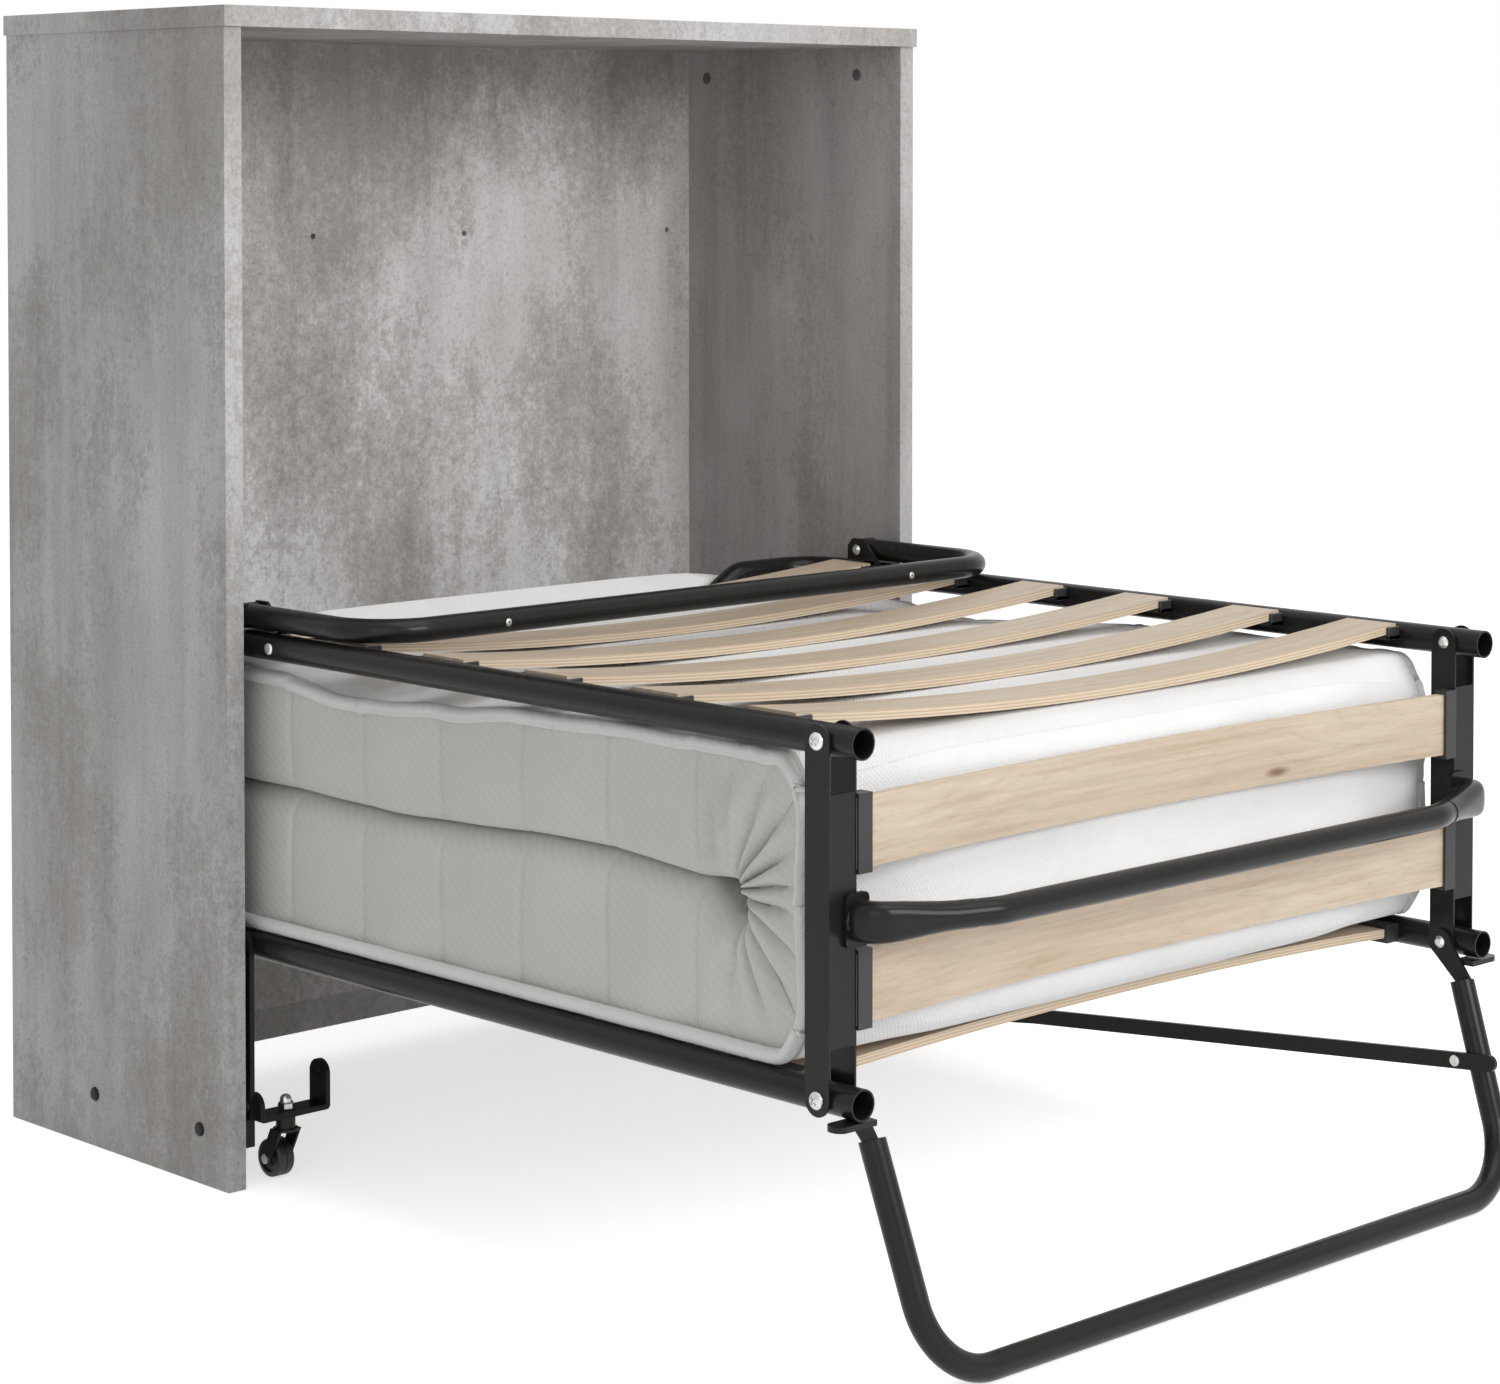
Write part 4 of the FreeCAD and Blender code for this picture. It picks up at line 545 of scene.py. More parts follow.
class Layer:
    """One half of the folded mattress: a straight layer and its half of the fold.

    sign is 1 for the upper layer and -1 for the lower one. A station is a line through the
    thickness, from the frame side to the inner side; h is the distance from the crease level.
    outer is h at the frame side, knee the hinge, rear the rear end, gape how far the slot's end
    opens, and slot_round the rounding of the side faces towards the slot.
    """

    def __init__(self, sign, outer, knee, rear, gape, slot_round):
        self.sign = sign
        self.outer = outer
        self.gape = gape
        self.slot_round = slot_round
        self.knee = Vector((knee.y, abs(knee.z - CREASE_Z)))
        self.rear = rear
        self.crease = Vector((CREASE_Y, 0))
        self.arm = self.knee - self.crease
        self.split = math.atan2(-self.arm.x, self.arm.y)
        self.stations = []
        self.kinds = []
        self.lay_out()

    def add(self, outer, inner, kind):
        """One more station; kind is layer, fan or pleat."""
        self.stations.append((outer, inner))
        self.kinds.append(kind)

    def reach(self, angle):
        """Distance from the crease to the rounded outline of the fold, in a direction."""
        total = (math.cos(angle) / self.outer) ** NOSE_CORNER if angle < math.pi / 2 - 1e-6 else 0.0
        total += (math.sin(angle) / (CREASE_Y - NOSE_Y)) ** NOSE_CORNER
        return total ** (-1 / NOSE_CORNER)

    def opened(self, k):
        """Share of the pleat's cloth that lies before station k."""
        inside = [i for i, kind in enumerate(self.kinds) if kind == "pleat"]
        return min(max((k - inside[0]) / (inside[-1] - inside[0]), 0.0), 1.0)

    def hole(self, angle):
        """Radius of the open end of the slot, in a direction."""
        return CREASE_HOLE + self.gape * math.cos(angle) ** 2

    def ray(self, angle):
        """Direction at an angle from upright, towards the nose."""
        return Vector((-math.sin(angle), math.cos(angle)))

    def hinge_normal(self):
        """Direction across the hinge's plane, towards the nose."""
        away = Vector((-self.arm.y, self.arm.x)).normalized()
        return away if away.x < 0 else -away

    def lay_out(self):
        """Stations from the rear end of the layer, round the crease, to the tip of the nose."""
        places = [self.rear + (CREASE_Y - self.rear) * i / LAYER_STATIONS for i in range(LAYER_STATIONS)]
        for number in range(SEAM_COUNT):
            seam = SEAM_FIRST - number * SEAM_STEP
            places = [y for y in places if abs(y - seam) > SEAM_CLEAR]
            places += [seam + offset for offset in SEAM_OFFSETS]
        for y in sorted(places, reverse=True):
            flare = smooth(1 - (y - CREASE_Y) / FLARE_LENGTH)
            inner = SLOT_HALF + (self.hole(0) - SLOT_HALF) * flare
            self.add(Vector((y, self.outer)), Vector((y, inner)), "layer")
        for i in range(FAN_STATIONS):
            self.fan_station(self.split * i / FAN_STATIONS)
        away = self.hinge_normal()
        toward = -self.arm.normalized()
        base = self.crease + self.ray(self.split) * self.reach(self.split)
        for i in range(PLEAT_STATIONS + 1):
            share = i / PLEAT_STATIONS
            turn = math.pi / 2 * smooth(share)
            radius = (self.arm.length - self.hole(self.split)) * math.cos(math.pi / 4)
            radius /= math.cos(turn - math.pi / 4)
            offset = away * (2 * share - 1) * HINGE_BAND
            self.add(base + offset, self.knee + toward * radius + offset, "pleat")
        for i in range(1, NOSE_STATIONS + 1):
            self.fan_station(self.split + (math.pi / 2 - self.split) * i / NOSE_STATIONS)

    def fan_station(self, angle):
        """A station of the fold; none stands in the thin band that turns with the hinge."""
        if self.hole(angle) * math.sin(abs(angle - self.split)) < 1.1 * HINGE_BAND:
            return
        ray = self.ray(angle)
        self.add(self.crease + ray * self.reach(angle), self.crease + ray * self.hole(angle), "fan")

    def hinge(self):
        """Start and end of the bend, in the frame."""
        middle = (self.crease + self.knee) / 2
        ends = []
        for shift in (-HINGE_BAND, HINGE_BAND):
            spot = middle + self.hinge_normal() * shift
            ends.append((0, spot.x, CREASE_Z + self.sign * spot.y))
        return ends

    def frame_side(self, x, y):
        """How far the frame side stands off its flat place, along h, at (x, y)."""
        wide = abs(x) / HALF_WIDTH
        ahead = FRONT - y
        if self.sign < 0:
            ripple = 1.6 * MM * noise.noise(Vector((x * 5, y * 9, 4.0)))
            return -abs(ripple) - CLOTH_CLEAR
        sag = (along_curve(TOP_EDGE, ahead) - TOP) * smooth((wide - 0.55) / 0.45)
        sag *= 1 - smooth((ahead - TOP_EDGE[-1][0]) / 0.1)
        ripple = 2.2 * MM * noise.noise(Vector((x * 7, y * 11, 1.0))) * smooth((wide - 0.3) / 0.4)
        rise = smooth((y - BAR_Y - 9 * MM) / (12 * MM)) * (HUMP_TOP - TOP)
        rise *= 1 - smooth((wide - 0.55) / 0.45)
        bar = along_curve([(BAR_DIP_IN, BAR_LOW), (BAR_DIP_OUT, BAR_LOW + 30 * MM)], abs(x)) - 0.8 * MM
        level = TOP + sag - abs(ripple) - CLOTH_CLEAR + rise
        press = 1 - smooth((abs(y - BAR_Y) - 14 * MM) / (22 * MM if y < BAR_Y else 8 * MM))
        return level + min(0.0, bar - level) * press - TOP

    def slot_wave(self, y):
        """The gap between the layers rises a little where the photograph shows it."""
        ahead = FRONT - y
        lift = SLOT_LIFT * (1 - smooth((ahead - 0.5) / 0.1))
        rise = 7 * MM * math.exp(-((ahead - 0.43) / 0.12) ** 2)
        dip = 3 * MM * math.exp(-((ahead - 0.16) / 0.09) ** 2)
        return lift + rise - dip

    def side_relief(self, k, q, length):
        """How far the side face stands out at a station: crown, sewn seams, gathers at the fold."""
        outer, inner = self.stations[k]
        share = q / length
        y = outer.x
        plain = SIDE_CROWN * (1 - (2 * share - 1) ** 2) - SIDE_INSET
        gathered = 1.0
        relief = plain
        if self.kinds[k] == "layer":
            nearest = min(max(round((SEAM_FIRST - y) / SEAM_STEP), 0), SEAM_COUNT - 1)
            offset = (y - (SEAM_FIRST - nearest * SEAM_STEP)) / SEAM_WIDTH
            puff = PUFF * math.cos(math.pi * (SEAM_FIRST - y) / SEAM_STEP) ** 2
            seam = SEAM_DEPTH * math.exp(-abs(offset) ** 1.4) * smooth(share / 0.12)
            slack = 2.6 * MM * noise.noise(Vector((y * 9, share * 1.8, 3.0 * self.sign)))
            gathered = smooth((SEAM_LAST - y) / (26 * MM))
            relief = (plain + PUFF - puff - seam + slack) * (1 - gathered) + gathered * plain
        if gathered <= 0:
            return relief
        away = (outer * 0.6 + inner * 0.4) - self.crease
        angle = math.atan2(-away.x, away.y)
        whole = angle if self.sign < 0 else math.pi - angle
        fixed = smooth(abs(angle - self.split) / 0.35)
        wander = noise.noise(Vector((whole * 2.1, share * 1.6, 7.0))) * fixed
        ridge = abs(math.sin(GATHERS * whole + 1.5 * wander)) ** 0.62 - 0.55
        height = GATHER_HIGH * (1 + 0.5 * noise.noise(Vector((whole * 1.3, 2.0, 9.0))))
        near = smooth((share - 0.06) / 0.42) * (1 - 0.5 * smooth((share - 0.75) / 0.25))
        return relief + ridge * height * near * gathered

    def place(self, k, q, x, side=0):
        """A point of station k, q along its line and x across; side is -1 or 1 on a side face."""
        outer, inner = self.stations[k]
        length = (inner - outer).length
        share = q / length
        spot = outer + (inner - outer) * share
        h = spot.y
        if self.kinds[k] == "layer":
            h += self.frame_side(x, spot.x) * (1 - share)
            h += self.sign * self.slot_wave(spot.x) * share
        elif self.kinds[k] == "fan" and outer.y > 0.6 * self.outer:
            drop = self.frame_side(x, max(spot.x, CREASE_Y - 20 * MM))
            h += drop * (1 - share) * smooth((outer.y / self.outer - 0.6) / 0.35)
        relief = self.side_relief(k, q, length) if side else 0.0
        if self.kinds[k] != "layer":
            near = smooth((CREASE_Y - outer.x - 58 * MM) / (36 * MM))
            near *= smooth((abs(x) / HALF_WIDTH - 0.6) / 0.4)
            back = (inner - outer).normalized() * (NOSE_RECESS * near * (1 - share))
            spot = Vector((spot.x + back.x, 0))
            h += back.y
        return Vector((x + side * relief, spot.x, CREASE_Z + self.sign * h))


def ring_layout(length, most):
    """Ring round a station as (q, x, side, zone); zones are 0 frame side, 1 side face, 2 inner side."""
    slot_round = min(most, 0.32 * length)
    ring = []
    for i in range(RING_X + 1):
        ring.append((0.0, (2 * i / RING_X - 1) * (HALF_WIDTH - EDGE_ROUND), 0, 0))
    side = []
    for j in range(1, RING_Q):
        q = length * (1 - math.cos(math.pi * j / RING_Q)) / 2
        inset = 0.0
        if q < EDGE_ROUND:
            inset = EDGE_ROUND - math.sqrt(EDGE_ROUND ** 2 - (EDGE_ROUND - q) ** 2)
        elif q > length - slot_round:
            over = q - length + slot_round
            inset = slot_round - math.sqrt(max(slot_round ** 2 - over ** 2, 0.0))
        side.append((q, HALF_WIDTH - inset))
    ring += [(q, x, 1, 1) for q, x in side]
    for i in range(RING_X + 1):
        ring.append((length, (1 - 2 * i / RING_X) * (HALF_WIDTH - slot_round), 0, 2))
    ring += [(q, -x, -1, 1) for q, x in reversed(side)]
    return ring


def mattress_half(name, layer, nodes):
    """Closed skin of one half, its station rings joined one after the other."""
    points, faces, uvs, marks = [], [], [], []
    count = 2 * (RING_X + 1) + 2 * (RING_Q - 1)
    travelled = 0.0
    last = None
    for k, (outer, inner) in enumerate(layer.stations):
        length = (inner - outer).length
        middle = (outer * 2 + inner) / 3
        travelled += (middle - last).length if last is not None else 0.0
        last = middle
        around = 0.0
        before = None
        for q, x, side, zone in ring_layout(length, layer.slot_round):
            point = layer.place(k, q, x, side)
            around += (Vector((q, x)) - before).length if before is not None else 0.0
            before = Vector((q, x))
            points.append(point)
            uvs.append((point.y - PLEAT_LENGTH * layer.opened(k), point.z) if side else (travelled, around))
    zones = [zone for q, x, side, zone in ring_layout(length, layer.slot_round)]
    for k in range(len(layer.stations) - 1):
        for i in range(count):
            j = (i + 1) % count
            a, b = k * count + i, k * count + j
            quad = (a, b, b + count, a + count)
            faces.append(quad if layer.sign > 0 else quad[::-1])
            marks.append(0 if zones[i] == 0 and zones[j] == 0 else 1)
    # The rear end is padded out a little, and both ends are closed.
    start = len(points)
    centre = sum((points[i] for i in range(count)), Vector()) / count
    for i in range(count):
        shrunk = centre + (points[i] - centre) * 0.94
        points.append(Vector((shrunk.x, shrunk.y + 6 * MM, shrunk.z)))
        uvs.append(uvs[i])
    ends = [(start + i, start + (i + 1) % count, (i + 1) % count, i) for i in range(count)]
    ends.append(tuple(range(start, start + count))[::-1])
    ends.append(tuple(range(start - count, start)))
    faces += [face if layer.sign > 0 else face[::-1] for face in ends]
    marks += [1] * len(ends)
    piece = mesh_piece(name, points, faces, [TICKING, KNIT], None, uvs, marks)
    piece.data.set_sharp_from_angle(angle=math.radians(70))
    start_point, end_point = layer.hinge()
    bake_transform(piece)
    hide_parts(*nodes)


def mattress_piping(name, layer, side):
    """Sewn bead along the outer edge of a side face; it wanders a little, as the seam does."""
    centres, radii = [], []
    for k, kind in enumerate(layer.kinds):
        if kind == "pleat" and k % 4:
            continue
        wander = noise.noise(Vector((k * 0.16, side * 3.0, layer.sign * 5.0)))
        depth = (5.6 + 0.2 * wander if layer.sign < 0 else 7.2 + 2.6 * wander) * MM
        out = (4.6 if layer.sign < 0 else 1.4) * MM
        outer = layer.stations[k][0]
        reach = smooth((outer.x - NOSE_Y - 26 * MM) / (30 * MM)) if outer.y > 0.8 * layer.outer else 0.0
        spot = layer.place(k, depth, side * (HALF_WIDTH + 1.4 * MM + (out - 1.4 * MM) * reach), 0)
        if layer.sign < 0:
            spot.z += (LOW_RAIL_TOP + 7.3 * MM - spot.z) * reach
        centres.append(spot)
        radii.append(PIPING_RADIUS + 0.5 * MM * noise.noise(Vector((k * 0.33, side * 7.0, 2.0))))
    piece = sweep(name, centres, radii, PIPING, None)
    start_point, end_point = layer.hinge()
    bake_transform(piece)


def make_mattress():
    """The two halves of the folded mattress, each with its piping."""
    lower = Layer(-1, CREASE_Z - BOTTOM, LOW_KNEE, LOWER_REAR - 6 * MM, 19 * MM, 26 * MM)
    upper = Layer(1, TOP - CREASE_Z, HIGH_KNEE, UPPER_REAR - 6 * MM, 1 * MM, 13 * MM)
    mattress_half("mattress_half_lower", lower, ["mattress_lower", "mattress_fold"])
    mattress_half("mattress_half_upper", upper, ["mattress_upper"])
    for word, side in SIDES:
        mattress_piping("mattress_piping_lower_" + word, lower, side)
        mattress_piping("mattress_piping_upper_" + word, upper, side)


# ---- small fasteners and casters

# Radius and height of the cross-head screws.
PIVOT_HEAD = (7.2 * MM, 3.4 * MM)
FOOT_LEG_HEAD = (6.4 * MM, 2.8 * MM)
LEG_PLUG = (3.6 * MM, 1.2 * MM)
# Radius, height and rounding of the round heads.
SIDE_BOLT = (6.5 * MM, 3.0 * MM, 2.2 * MM)
ARM_BOLT = (5.5 * MM, 2.6 * MM, 1.8 * MM)
CAM_COVER = (6.3 * MM, 1.2 * MM, 0.6 * MM)
BRACKET_RIVET = (4.4 * MM, 2.0 * MM, 1.4 * MM)
RAIL_RIVET = (5.5 * MM, 2.2 * MM, 1.6 * MM)
ARM_BOLT_Z = 74 * MM
TREAD_ROUND = 2.6 * MM
LEG_PLUG_X = 262 * MM
# Inner end of an upper slat holder and inner face of its end wall.
HOLDER_IN, HOLDER_WALL = 373 * MM, 388.3 * MM
# The grab bar: tube, lugs, its bends near them and the length of its pressed ends.
GRAB_RADIUS = 11 * MM
GRAB_LUG_INSET, GRAB_LUG_PLATE = 12.5 * MM, 4 * MM
GRAB_TURN, GRAB_TURN_RADIUS = 18 * MM, 20 * MM
GRAB_BEND_INSET = 104.5 * MM
GRAB_END_HALF, GRAB_END_LENGTH, GRAB_END_SKIN = 15.5 * MM, 72 * MM, 0.3 * MM
WELD_RING, WELD_TURNS = 11.6 * MM, 48


def cross_head(name, centre, axis, radius, height, body):
    """Domed screw head with a cross recess, on a polar grid."""
    axis = Vector(axis).normalized()
    side = axis.orthogonal().normalized()
    up = axis.cross(side)
    rings, segments = 16, 48
    points = [Vector(centre) + axis * height * 0.45]
    for r in range(1, rings + 1):
        share = r / rings
        for i in range(segments):
            angle = 2 * math.pi * i / segments
            u, v = share * math.cos(angle), share * math.sin(angle)
            rise = math.sqrt(max(1 - 0.96 * share * share, 0.0)) * height
            arm = max(abs(u), abs(v)) < 0.52 and min(abs(u), abs(v)) < 0.12
            rise = rise * 0.45 if arm else rise
            points.append(Vector(centre) + (side * u + up * v) * radius + axis * rise)
    last = 1 + (rings - 1) * segments
    points += [points[last + i] - axis * (height * 0.2 + 1.0 * MM) for i in range(segments)]
    faces = [(0, 1 + i, 1 + (i + 1) % segments) for i in range(segments)]
    for r in range(rings):
        for i in range(segments):
            j = (i + 1) % segments
            a, b = 1 + r * segments, 1 + (r + 1) * segments
            faces.append((a + i, b + i, b + j, a + j))
    faces.append(tuple(range(len(points) - segments, len(points))))
    piece = mesh_piece(name, points, faces, [ZINC], body)
    piece.data.set_sharp_from_angle(angle=math.radians(50))


def make_pivot_heads():
    """Cross-head screws over the outer ends of the knee pivots and of the foot leg's pivots."""
    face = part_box("knee_channel_right")[1].x
    for word, side in SIDES:
        for level, place, body in (("lower", LOW_KNEE, "bed_lower"), ("upper", HIGH_KNEE, "bed_upper")):
            head = Vector((side * (face + 0.4 * MM), place.y, place.z))
            cross_head("pivot_head_%s_%s" % (level, word), head, (side, 0, 0), *PIVOT_HEAD, body)
        leg_head = Vector((side * (RAIL_X + 11.4 * MM), FOOT_PIVOT.y, FOOT_PIVOT.z))
        cross_head("foot_leg_head_" + word, leg_head, (side, 0, 0), *FOOT_LEG_HEAD, "bed_upper")


def hex_nut(name, centre, axis, width, height, body):
    """Chamfered hexagon nut."""
    half = width / 2
    profile = [(0, width * 0.46), (height * 0.15, half), (height * 0.8, half), (height, width * 0.44)]
    piece = lathe(name, profile, centre, axis, ZINC, body, 6)
    piece.data.set_sharp_from_angle(angle=math.radians(20))
    return piece


def round_head(name, size, place, way, finish, body, sunk=0.5 * MM, segments=40):
    """Round head with a rounded rim, sunk a little in its seat; way is its direction along X."""
    radius, height, rounding = size
    material, slot = finish
    profile = rounded_profile(-sunk, height, radius, rounding)
    lathe(name, profile, place, (way, 0, 0), material, body, segments)


def make_fasteners():
    """Bolts through the side panels and caster arms, cam covers, and the foot brackets' rivets."""
    bar_low, bar_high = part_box("base_bar_left")
    bar_z = (bar_low.z + bar_high.z) / 2
    bar_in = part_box("base_bar_right")[0].x
    arm_low, arm_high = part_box("caster_arm_right")
    bolt_y = (arm_low.y + arm_high.y) / 2 + 3 * MM
    post_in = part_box("post_right")[0].x
    post_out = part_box("post_right")[1].x
    cam_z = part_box("side_panel_left")[1].z - 29 * MM
    bracket_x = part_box("foot_bracket_right")[0].x
    black, zinc, cap = (BLACK_COAT, "black_coat"), (ZINC, "rivet_zinc"), (CAP, "concrete_board")
    for word, side in SIDES:
        for number, y in enumerate((FRONT + 45 * MM, FRONT + 216 * MM)):
            end = "%s_%d" % (word, number)
            round_head("side_bolt_" + end, SIDE_BOLT, (side * SIDE_OUT, y, bar_z), side, black, "cabinet")
            place = (side * bar_in, y, bar_z)
            hex_nut("side_nut_" + end, place, (-side, 0, 0), 11 * MM, 4.5 * MM, "cabinet")
        place = (side * (post_in - 5 * MM), bolt_y, ARM_BOLT_Z)
        hex_nut("arm_nut_" + word, place, (-side, 0, 0), 12 * MM, 5 * MM, "cabinet")
        place = (side * post_out, bolt_y, ARM_BOLT_Z)
        round_head("arm_bolt_" + word, ARM_BOLT, place, side, black, "cabinet")
        for number, y in enumerate((FRONT + 65.5 * MM, FRONT + 302 * MM)):
            name = "cam_cover_%s_%d" % (word, number)
            round_head(name, CAM_COVER, (side * SIDE_IN, y, cam_z), -side, cap, "cabinet")
        for number, y in enumerate((FRONT - 7 * MM, FRONT - 22 * MM)):
            name = "bracket_rivet_%s_%d" % (word, number)
            place = (side * bracket_x, y, HIGH_KNEE.z)
            round_head(name, BRACKET_RIVET, place, -side, zinc, "bed_upper", 0.3 * MM, 24)
        place = (side * (RAIL_X + 12.3 * MM), FRONT - 22 * MM, HIGH_KNEE.z)
        round_head("rail_rivet_" + word, RAIL_RIVET, place, side, zinc, "bed_upper", 0.4 * MM, 28)


def make_caster_wheel(word):
    """Wheel with a hub, dished faces, a rounded tread and a fine mould line round it."""
    low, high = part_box("caster_wheel_" + word)
    centre = (low + high) / 2
    half = (high.x - low.x) / 2
    radius = (high.z - low.z) / 2
    profile = [(-half + 2 * MM, 3.2 * MM), (-half, 3.4 * MM), (-half, 6.5 * MM),
               (-half + 2.2 * MM, 7.4 * MM), (-half + 2.2 * MM, 11.6 * MM), (-half, 12.6 * MM)]
    for i in range(7):
        angle = math.pi / 2 * i / 6
        profile.append((-half + TREAD_ROUND - TREAD_ROUND * math.cos(angle),
                        radius - TREAD_ROUND + TREAD_ROUND * math.sin(angle)))
    profile += [(-0.8 * MM, radius), (-0.4 * MM, radius - 0.8 * MM)]
    profile += [(-along, r) for along, r in reversed(profile)]
    wheel = lathe("wheel_tread_" + word, profile, centre, (1, 0, 0), WHEEL, "wheel_" + word,
                  64)
    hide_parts("caster_wheel_" + word)


def make_dome_nut(word):
    """Dome nut on the caster's stem: a hexagon and a dome on it."""
    low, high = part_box("caster_nut_" + word)
    centre = ((low.x + high.x) / 2, (low.y + high.y) / 2, low.z)
    height = high.z - low.z
    nut = hex_nut("stem_nut_" + word, centre, (0, 0, 1), 15.5 * MM, 7 * MM, "caster_" + word)
    dome = [(6.6 * MM, 5.6 * MM), (8.2 * MM, 5.5 * MM)]
    for i in range(1, 7):
        angle = math.pi / 2 * i / 6.5
        dome.append((8.2 * MM + (height - 8.2 * MM) * math.sin(angle), 5.5 * MM * math.cos(angle)))
    lathe("stem_dome_" + word, dome, centre, (0, 0, 1), ZINC, "caster_" + word, 32)
    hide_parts("caster_nut_" + word)


def grab_lug():
    """The grab bar's level, and the middle of its right lug in X and Y."""
    low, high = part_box("grab_bar")
    return (low.z + high.z) / 2, Vector((high.x - GRAB_LUG_INSET, high.y - GRAB_LUG_PLATE))


def grab_bar_end(name, side):
    """Pressed wide end of the grab bar: a tall oval at its lug that narrows to the tube's round."""
    level, lug = grab_lug()
    turn = lug - Vector((0, GRAB_TURN))
    bend = Vector((lug.x - GRAB_BEND_INSET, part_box("grab_bar")[0].y + GRAB_RADIUS))
    ahead = (bend - turn).normalized()
    reach = GRAB_TURN_RADIUS * math.tan(math.acos(-ahead.y) / 2)
    path = [lug, turn + Vector((0, reach))]
    begin, end = path[-1], turn + ahead * reach
    for i in range(1, 9):
        t = i / 8
        path.append(begin * (1 - t) ** 2 + turn * (2 * t * (1 - t)) + end * t ** 2)
    for i in range(1, 13):
        path.append(end + ahead * (GRAB_END_LENGTH * i / 12))
    points, uvs = [], []
    count = 28
    travelled = 0.0
    for k, spot in enumerate(path):
        along = (path[min(k + 1, len(path) - 1)] - path[max(k - 1, 0)]).normalized()
        out = Vector((along.y, -along.x))
        travelled += (spot - path[k - 1]).length if k else 0.0
        share = smooth((travelled - 14 * MM) / (76 * MM))
        thick = GRAB_RADIUS + GRAB_END_SKIN
        tall = thick + (GRAB_END_HALF - GRAB_RADIUS) * (1 - share)
        square = 0.62 + 0.38 * share
        for i in range(count):
            angle = 2 * math.pi * i / count
            c = math.copysign(abs(math.cos(angle)) ** square, math.cos(angle))
            v = math.copysign(abs(math.sin(angle)) ** square, math.sin(angle))
            flat = spot + out * (thick * c)
            points.append(Vector((side * flat.x, flat.y, level + tall * v)))
            uvs.append((travelled, GRAB_RADIUS * angle))
    faces = tube_faces(len(path), count)
    if side > 0:
        faces = [face[::-1] for face in faces]
    piece = mesh_piece(name, points, faces, [FRAME_COAT], "knee_section", uvs)
    piece.data.set_sharp_from_angle(angle=math.radians(50))


def box_faces(low, high):
    """Corner points and faces of a block."""
    points = [Vector((x, y, z)) for z in (low.z, high.z) for y in (low.y, high.y) for x in (low.x, high.x)]
    faces = [(0, 2, 3, 1), (4, 5, 7, 6), (0, 1, 5, 4), (2, 6, 7, 3), (0, 4, 6, 2), (1, 3, 7, 5)]
    return points, faces


def make_upper_holders():
    """Open holders of the upper slats: a floor below the slat, two cheeks and an end wall."""
    low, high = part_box("upper_slat_holders")
    points, faces = [], []
    for number in range(1, 7):
        slat_low, slat_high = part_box("upper_slat_%d" % number)
        front, rear = slat_low.y - 3.5 * MM, slat_high.y + 3.5 * MM
        top = slat_high.z - 2.4 * MM
        blocks = [(HOLDER_IN, front, rear, slat_high.z - 9.8 * MM),
                  (HOLDER_IN, front, slat_low.y - 0.3 * MM, top),
                  (HOLDER_IN, slat_high.y + 0.3 * MM, rear, top),
                  (HOLDER_WALL, front, rear, top)]
        for inner, y0, y1, z1 in blocks:
            for side in (LEFT, RIGHT):
                ends = sorted((side * inner, side * high.x))
                more, sides = box_faces(Vector((ends[0], y0, low.z)), Vector((ends[1], y1, z1)))
                faces += [tuple(i + len(points) for i in face) for face in sides]
                points += more
    piece = mesh_piece("upper_slat_cups", points, faces, [HOLDER], "bed_upper")
    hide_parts("upper_slat_holders")
    soften(piece, 0.8 * MM)


def make_leg_plugs():
    """Small screws sunk in the foot leg's cross tube, one near each end."""
    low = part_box("foot_leg")[0]
    for word, side in SIDES:
        centre = (side * LEG_PLUG_X, low.y + 0.6 * MM, low.z + 11 * MM)
        cross_head("leg_plug_" + word, centre, (0, -1, 0), *LEG_PLUG, "foot_leg")


def make_welds():
    """Bead where the grab bar meets each of its lugs."""
    level, lug = grab_lug()
    for word, side in SIDES:
        centres, radii = [], []
        for i in range(WELD_TURNS + 1):
            angle = 2 * math.pi * i / WELD_TURNS
            centres.append(Vector((side * lug.x + WELD_RING * math.cos(angle), lug.y - 0.4 * MM,
                                   level + WELD_RING * math.sin(angle))))
            radii.append((1.9 + 0.5 * math.sin(i * 1.7)) * MM)
        sweep("grab_weld_" + word, centres, radii, FRAME_COAT, "knee_section", 8)


# ---- camera, light, surroundings

PHOTO_WIDTH, PHOTO_HEIGHT = 1500, 1384
FOCAL_PIXELS = 3588
HORIZON_ROW = 271
SENSOR_WIDTH = 36.0
CAMERA_PLACE = (-2.327, -2.4235, 0.937)
CAMERA_YAW, CAMERA_PITCH = 43.66, 1.81
FLOOR_HALF = 30.0
FLOOR_GREY = (0.86, 0.86, 0.86, 1)
FLOOR_GLOW = 0.62
ROOM_LIGHT = 0.46
WHITE = (1, 1, 1, 1)
# Name, place, target, size and power of each lamp.
LAMPS = [("front_key", (0.2, -4.6, 2.3), (0, 0.3, 0.6), (2.4, 1.8), 108),
         ("left_fill", (-3.6, -2.6, 1.6), (0, 0.2, 0.5), (2.4, 2.4), 19),
         ("top_soft", (0.2, -1.6, 4.0), (0, -0.2, 0.4), (3.0, 3.0), 52)]


def make_camera():
    """Camera at the photograph's place; the shift frames the object as the photograph does."""
    data = bpy.data.cameras.new("photo_camera")
    data.sensor_fit = "HORIZONTAL"
    data.sensor_width = SENSOR_WIDTH
    data.lens = SENSOR_WIDTH * FOCAL_PIXELS / PHOTO_WIDTH
    data.shift_y = -(PHOTO_HEIGHT / 2 - HORIZON_ROW) / PHOTO_WIDTH
    camera = add_object("photo_camera", data)
    camera.location = CAMERA_PLACE
    camera.rotation_euler = (math.radians(90 - CAMERA_PITCH), 0, math.radians(-CAMERA_YAW))
    bpy.context.scene.camera = camera


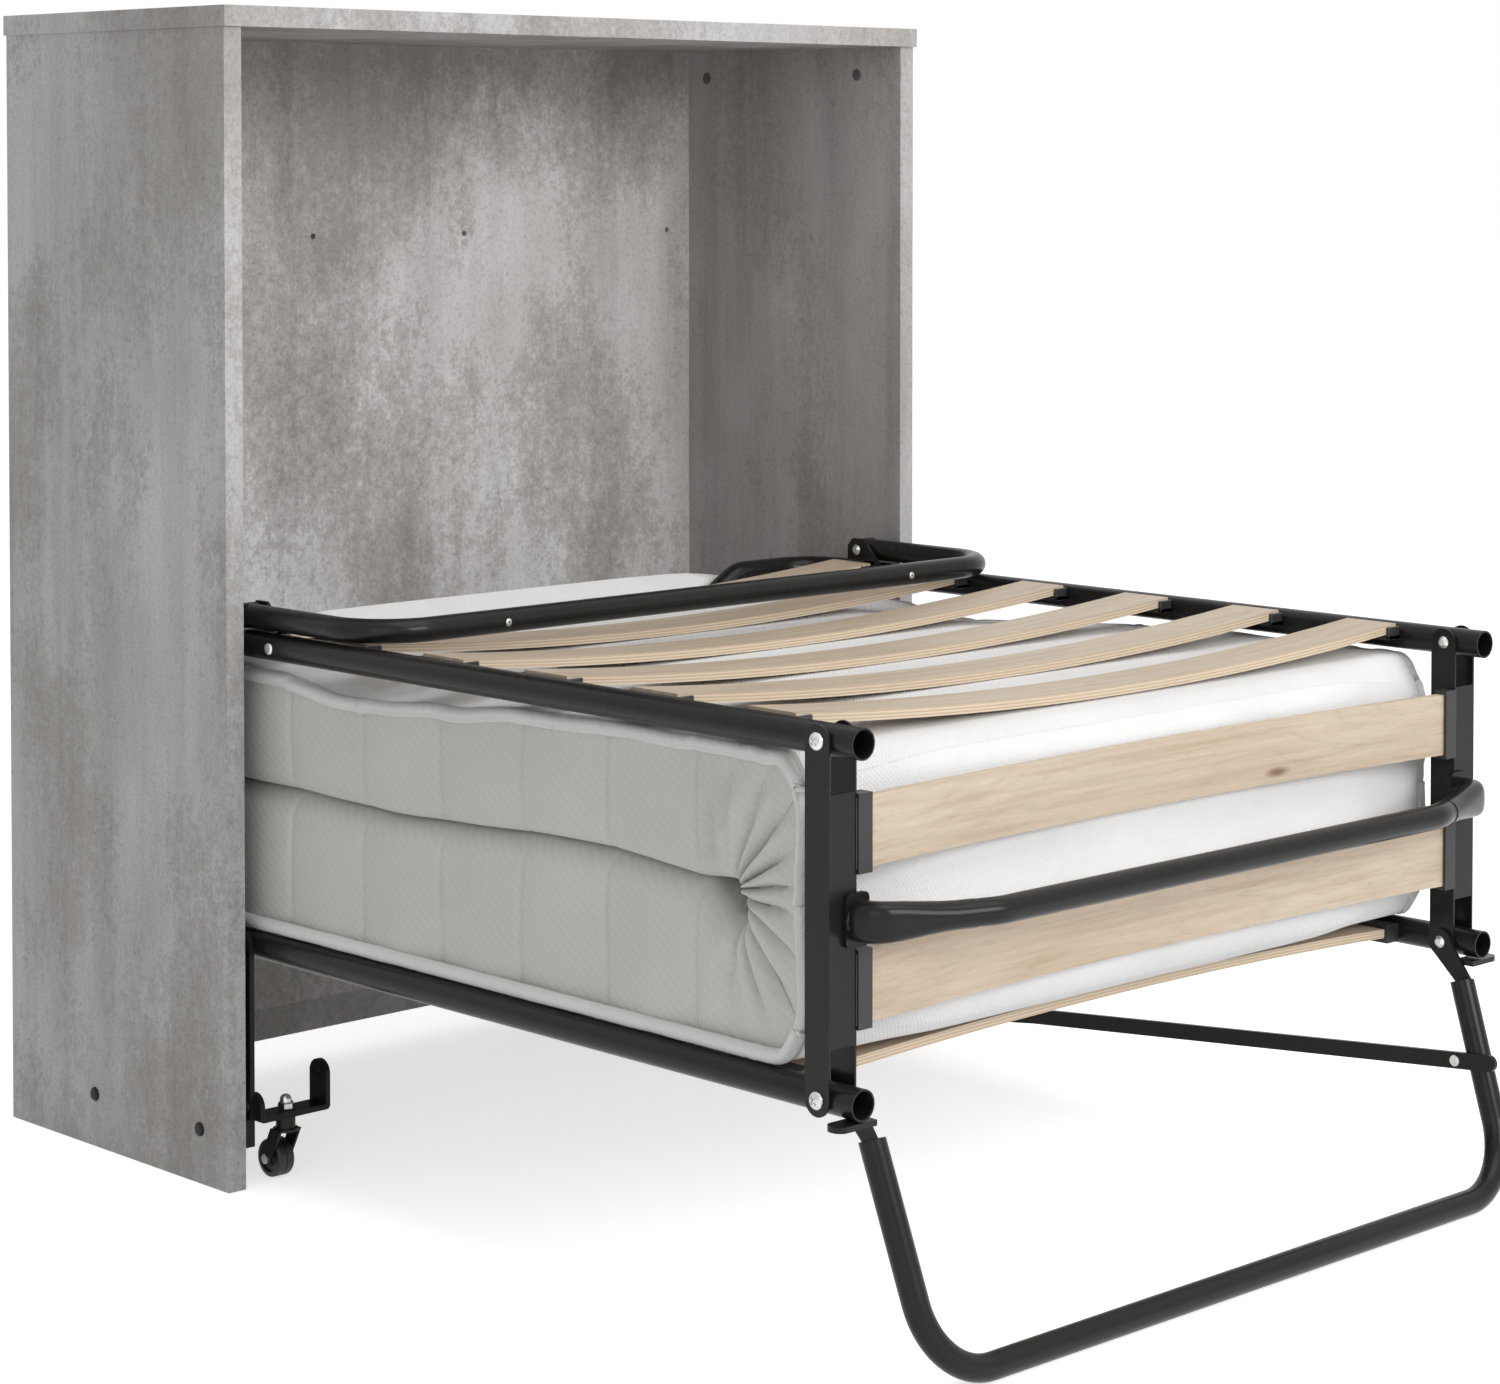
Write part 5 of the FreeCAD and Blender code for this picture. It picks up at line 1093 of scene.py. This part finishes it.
def seen_directly(tree):
    """1 where the camera sees the surroundings, also in a reflection or through glass."""
    rays = node(tree, "ShaderNodeLightPath")
    seen = math_node(tree, "MAXIMUM", rays.outputs["Is Camera Ray"], rays.outputs["Is Glossy Ray"])
    return math_node(tree, "MAXIMUM", seen, rays.outputs["Is Transmission Ray"])


def make_floor():
    """Pale floor that keeps a soft shadow and reads as white to the camera."""
    corners = ((-1, -1), (1, -1), (1, 1), (-1, 1))
    points = [(x * FLOOR_HALF, y * FLOOR_HALF, 0) for x, y in corners]
    material, tree, shader = new_material("floor", 0.9)
    shader.inputs["Base Color"].default_value = FLOOR_GREY
    lift = math_node(tree, "MULTIPLY", seen_directly(tree), FLOOR_GLOW)
    glow = node(tree, "ShaderNodeEmission", {"Color": WHITE, "Strength": lift})
    blend = node(tree, "ShaderNodeAddShader", {0: shader.outputs[0], 1: glow.outputs[0]})
    tree.links.new(blend.outputs[0], tree.nodes["Material Output"].inputs["Surface"])
    mesh_piece("floor", points, [(0, 1, 2, 3)], [material])


def make_world():
    """Even room light; the camera sees it as white."""
    world = bpy.data.worlds.new("studio")
    bpy.context.scene.world = world
    world.use_nodes = True
    tree = world.node_tree
    for item in list(tree.nodes):
        tree.nodes.remove(item)
    room = node(tree, "ShaderNodeBackground", {"Color": WHITE, "Strength": ROOM_LIGHT})
    white = node(tree, "ShaderNodeBackground", {"Color": WHITE, "Strength": 1.0})
    blend = node(tree, "ShaderNodeMixShader",
                 {0: seen_directly(tree), 1: room.outputs[0], 2: white.outputs[0]})
    output = node(tree, "ShaderNodeOutputWorld")
    tree.links.new(blend.outputs[0], output.inputs["Surface"])


def make_lamp(name, place, target, size, power):
    """Rectangular soft lamp at a place, aimed at a target."""
    data = bpy.data.lights.new(name, "AREA")
    data.shape = "RECTANGLE"
    data.size, data.size_y = size
    data.energy = power
    lamp = add_object(name, data)
    lamp.location = place
    way = Vector(target) - Vector(place)
    lamp.rotation_euler = way.to_track_quat("-Z", "Y").to_euler()


dress_nodes()
make_mattress()
make_pivot_heads()
make_fasteners()
for word, side in SIDES:
    make_caster_wheel(word)
    make_dome_nut(word)
    grab_bar_end("grab_bar_end_" + word, side)
make_upper_holders()
make_leg_plugs()
make_welds()
make_floor()
make_world()
for lamp in LAMPS:
    make_lamp(*lamp)
make_camera()
bpy.context.scene.view_settings.view_transform = "Standard"
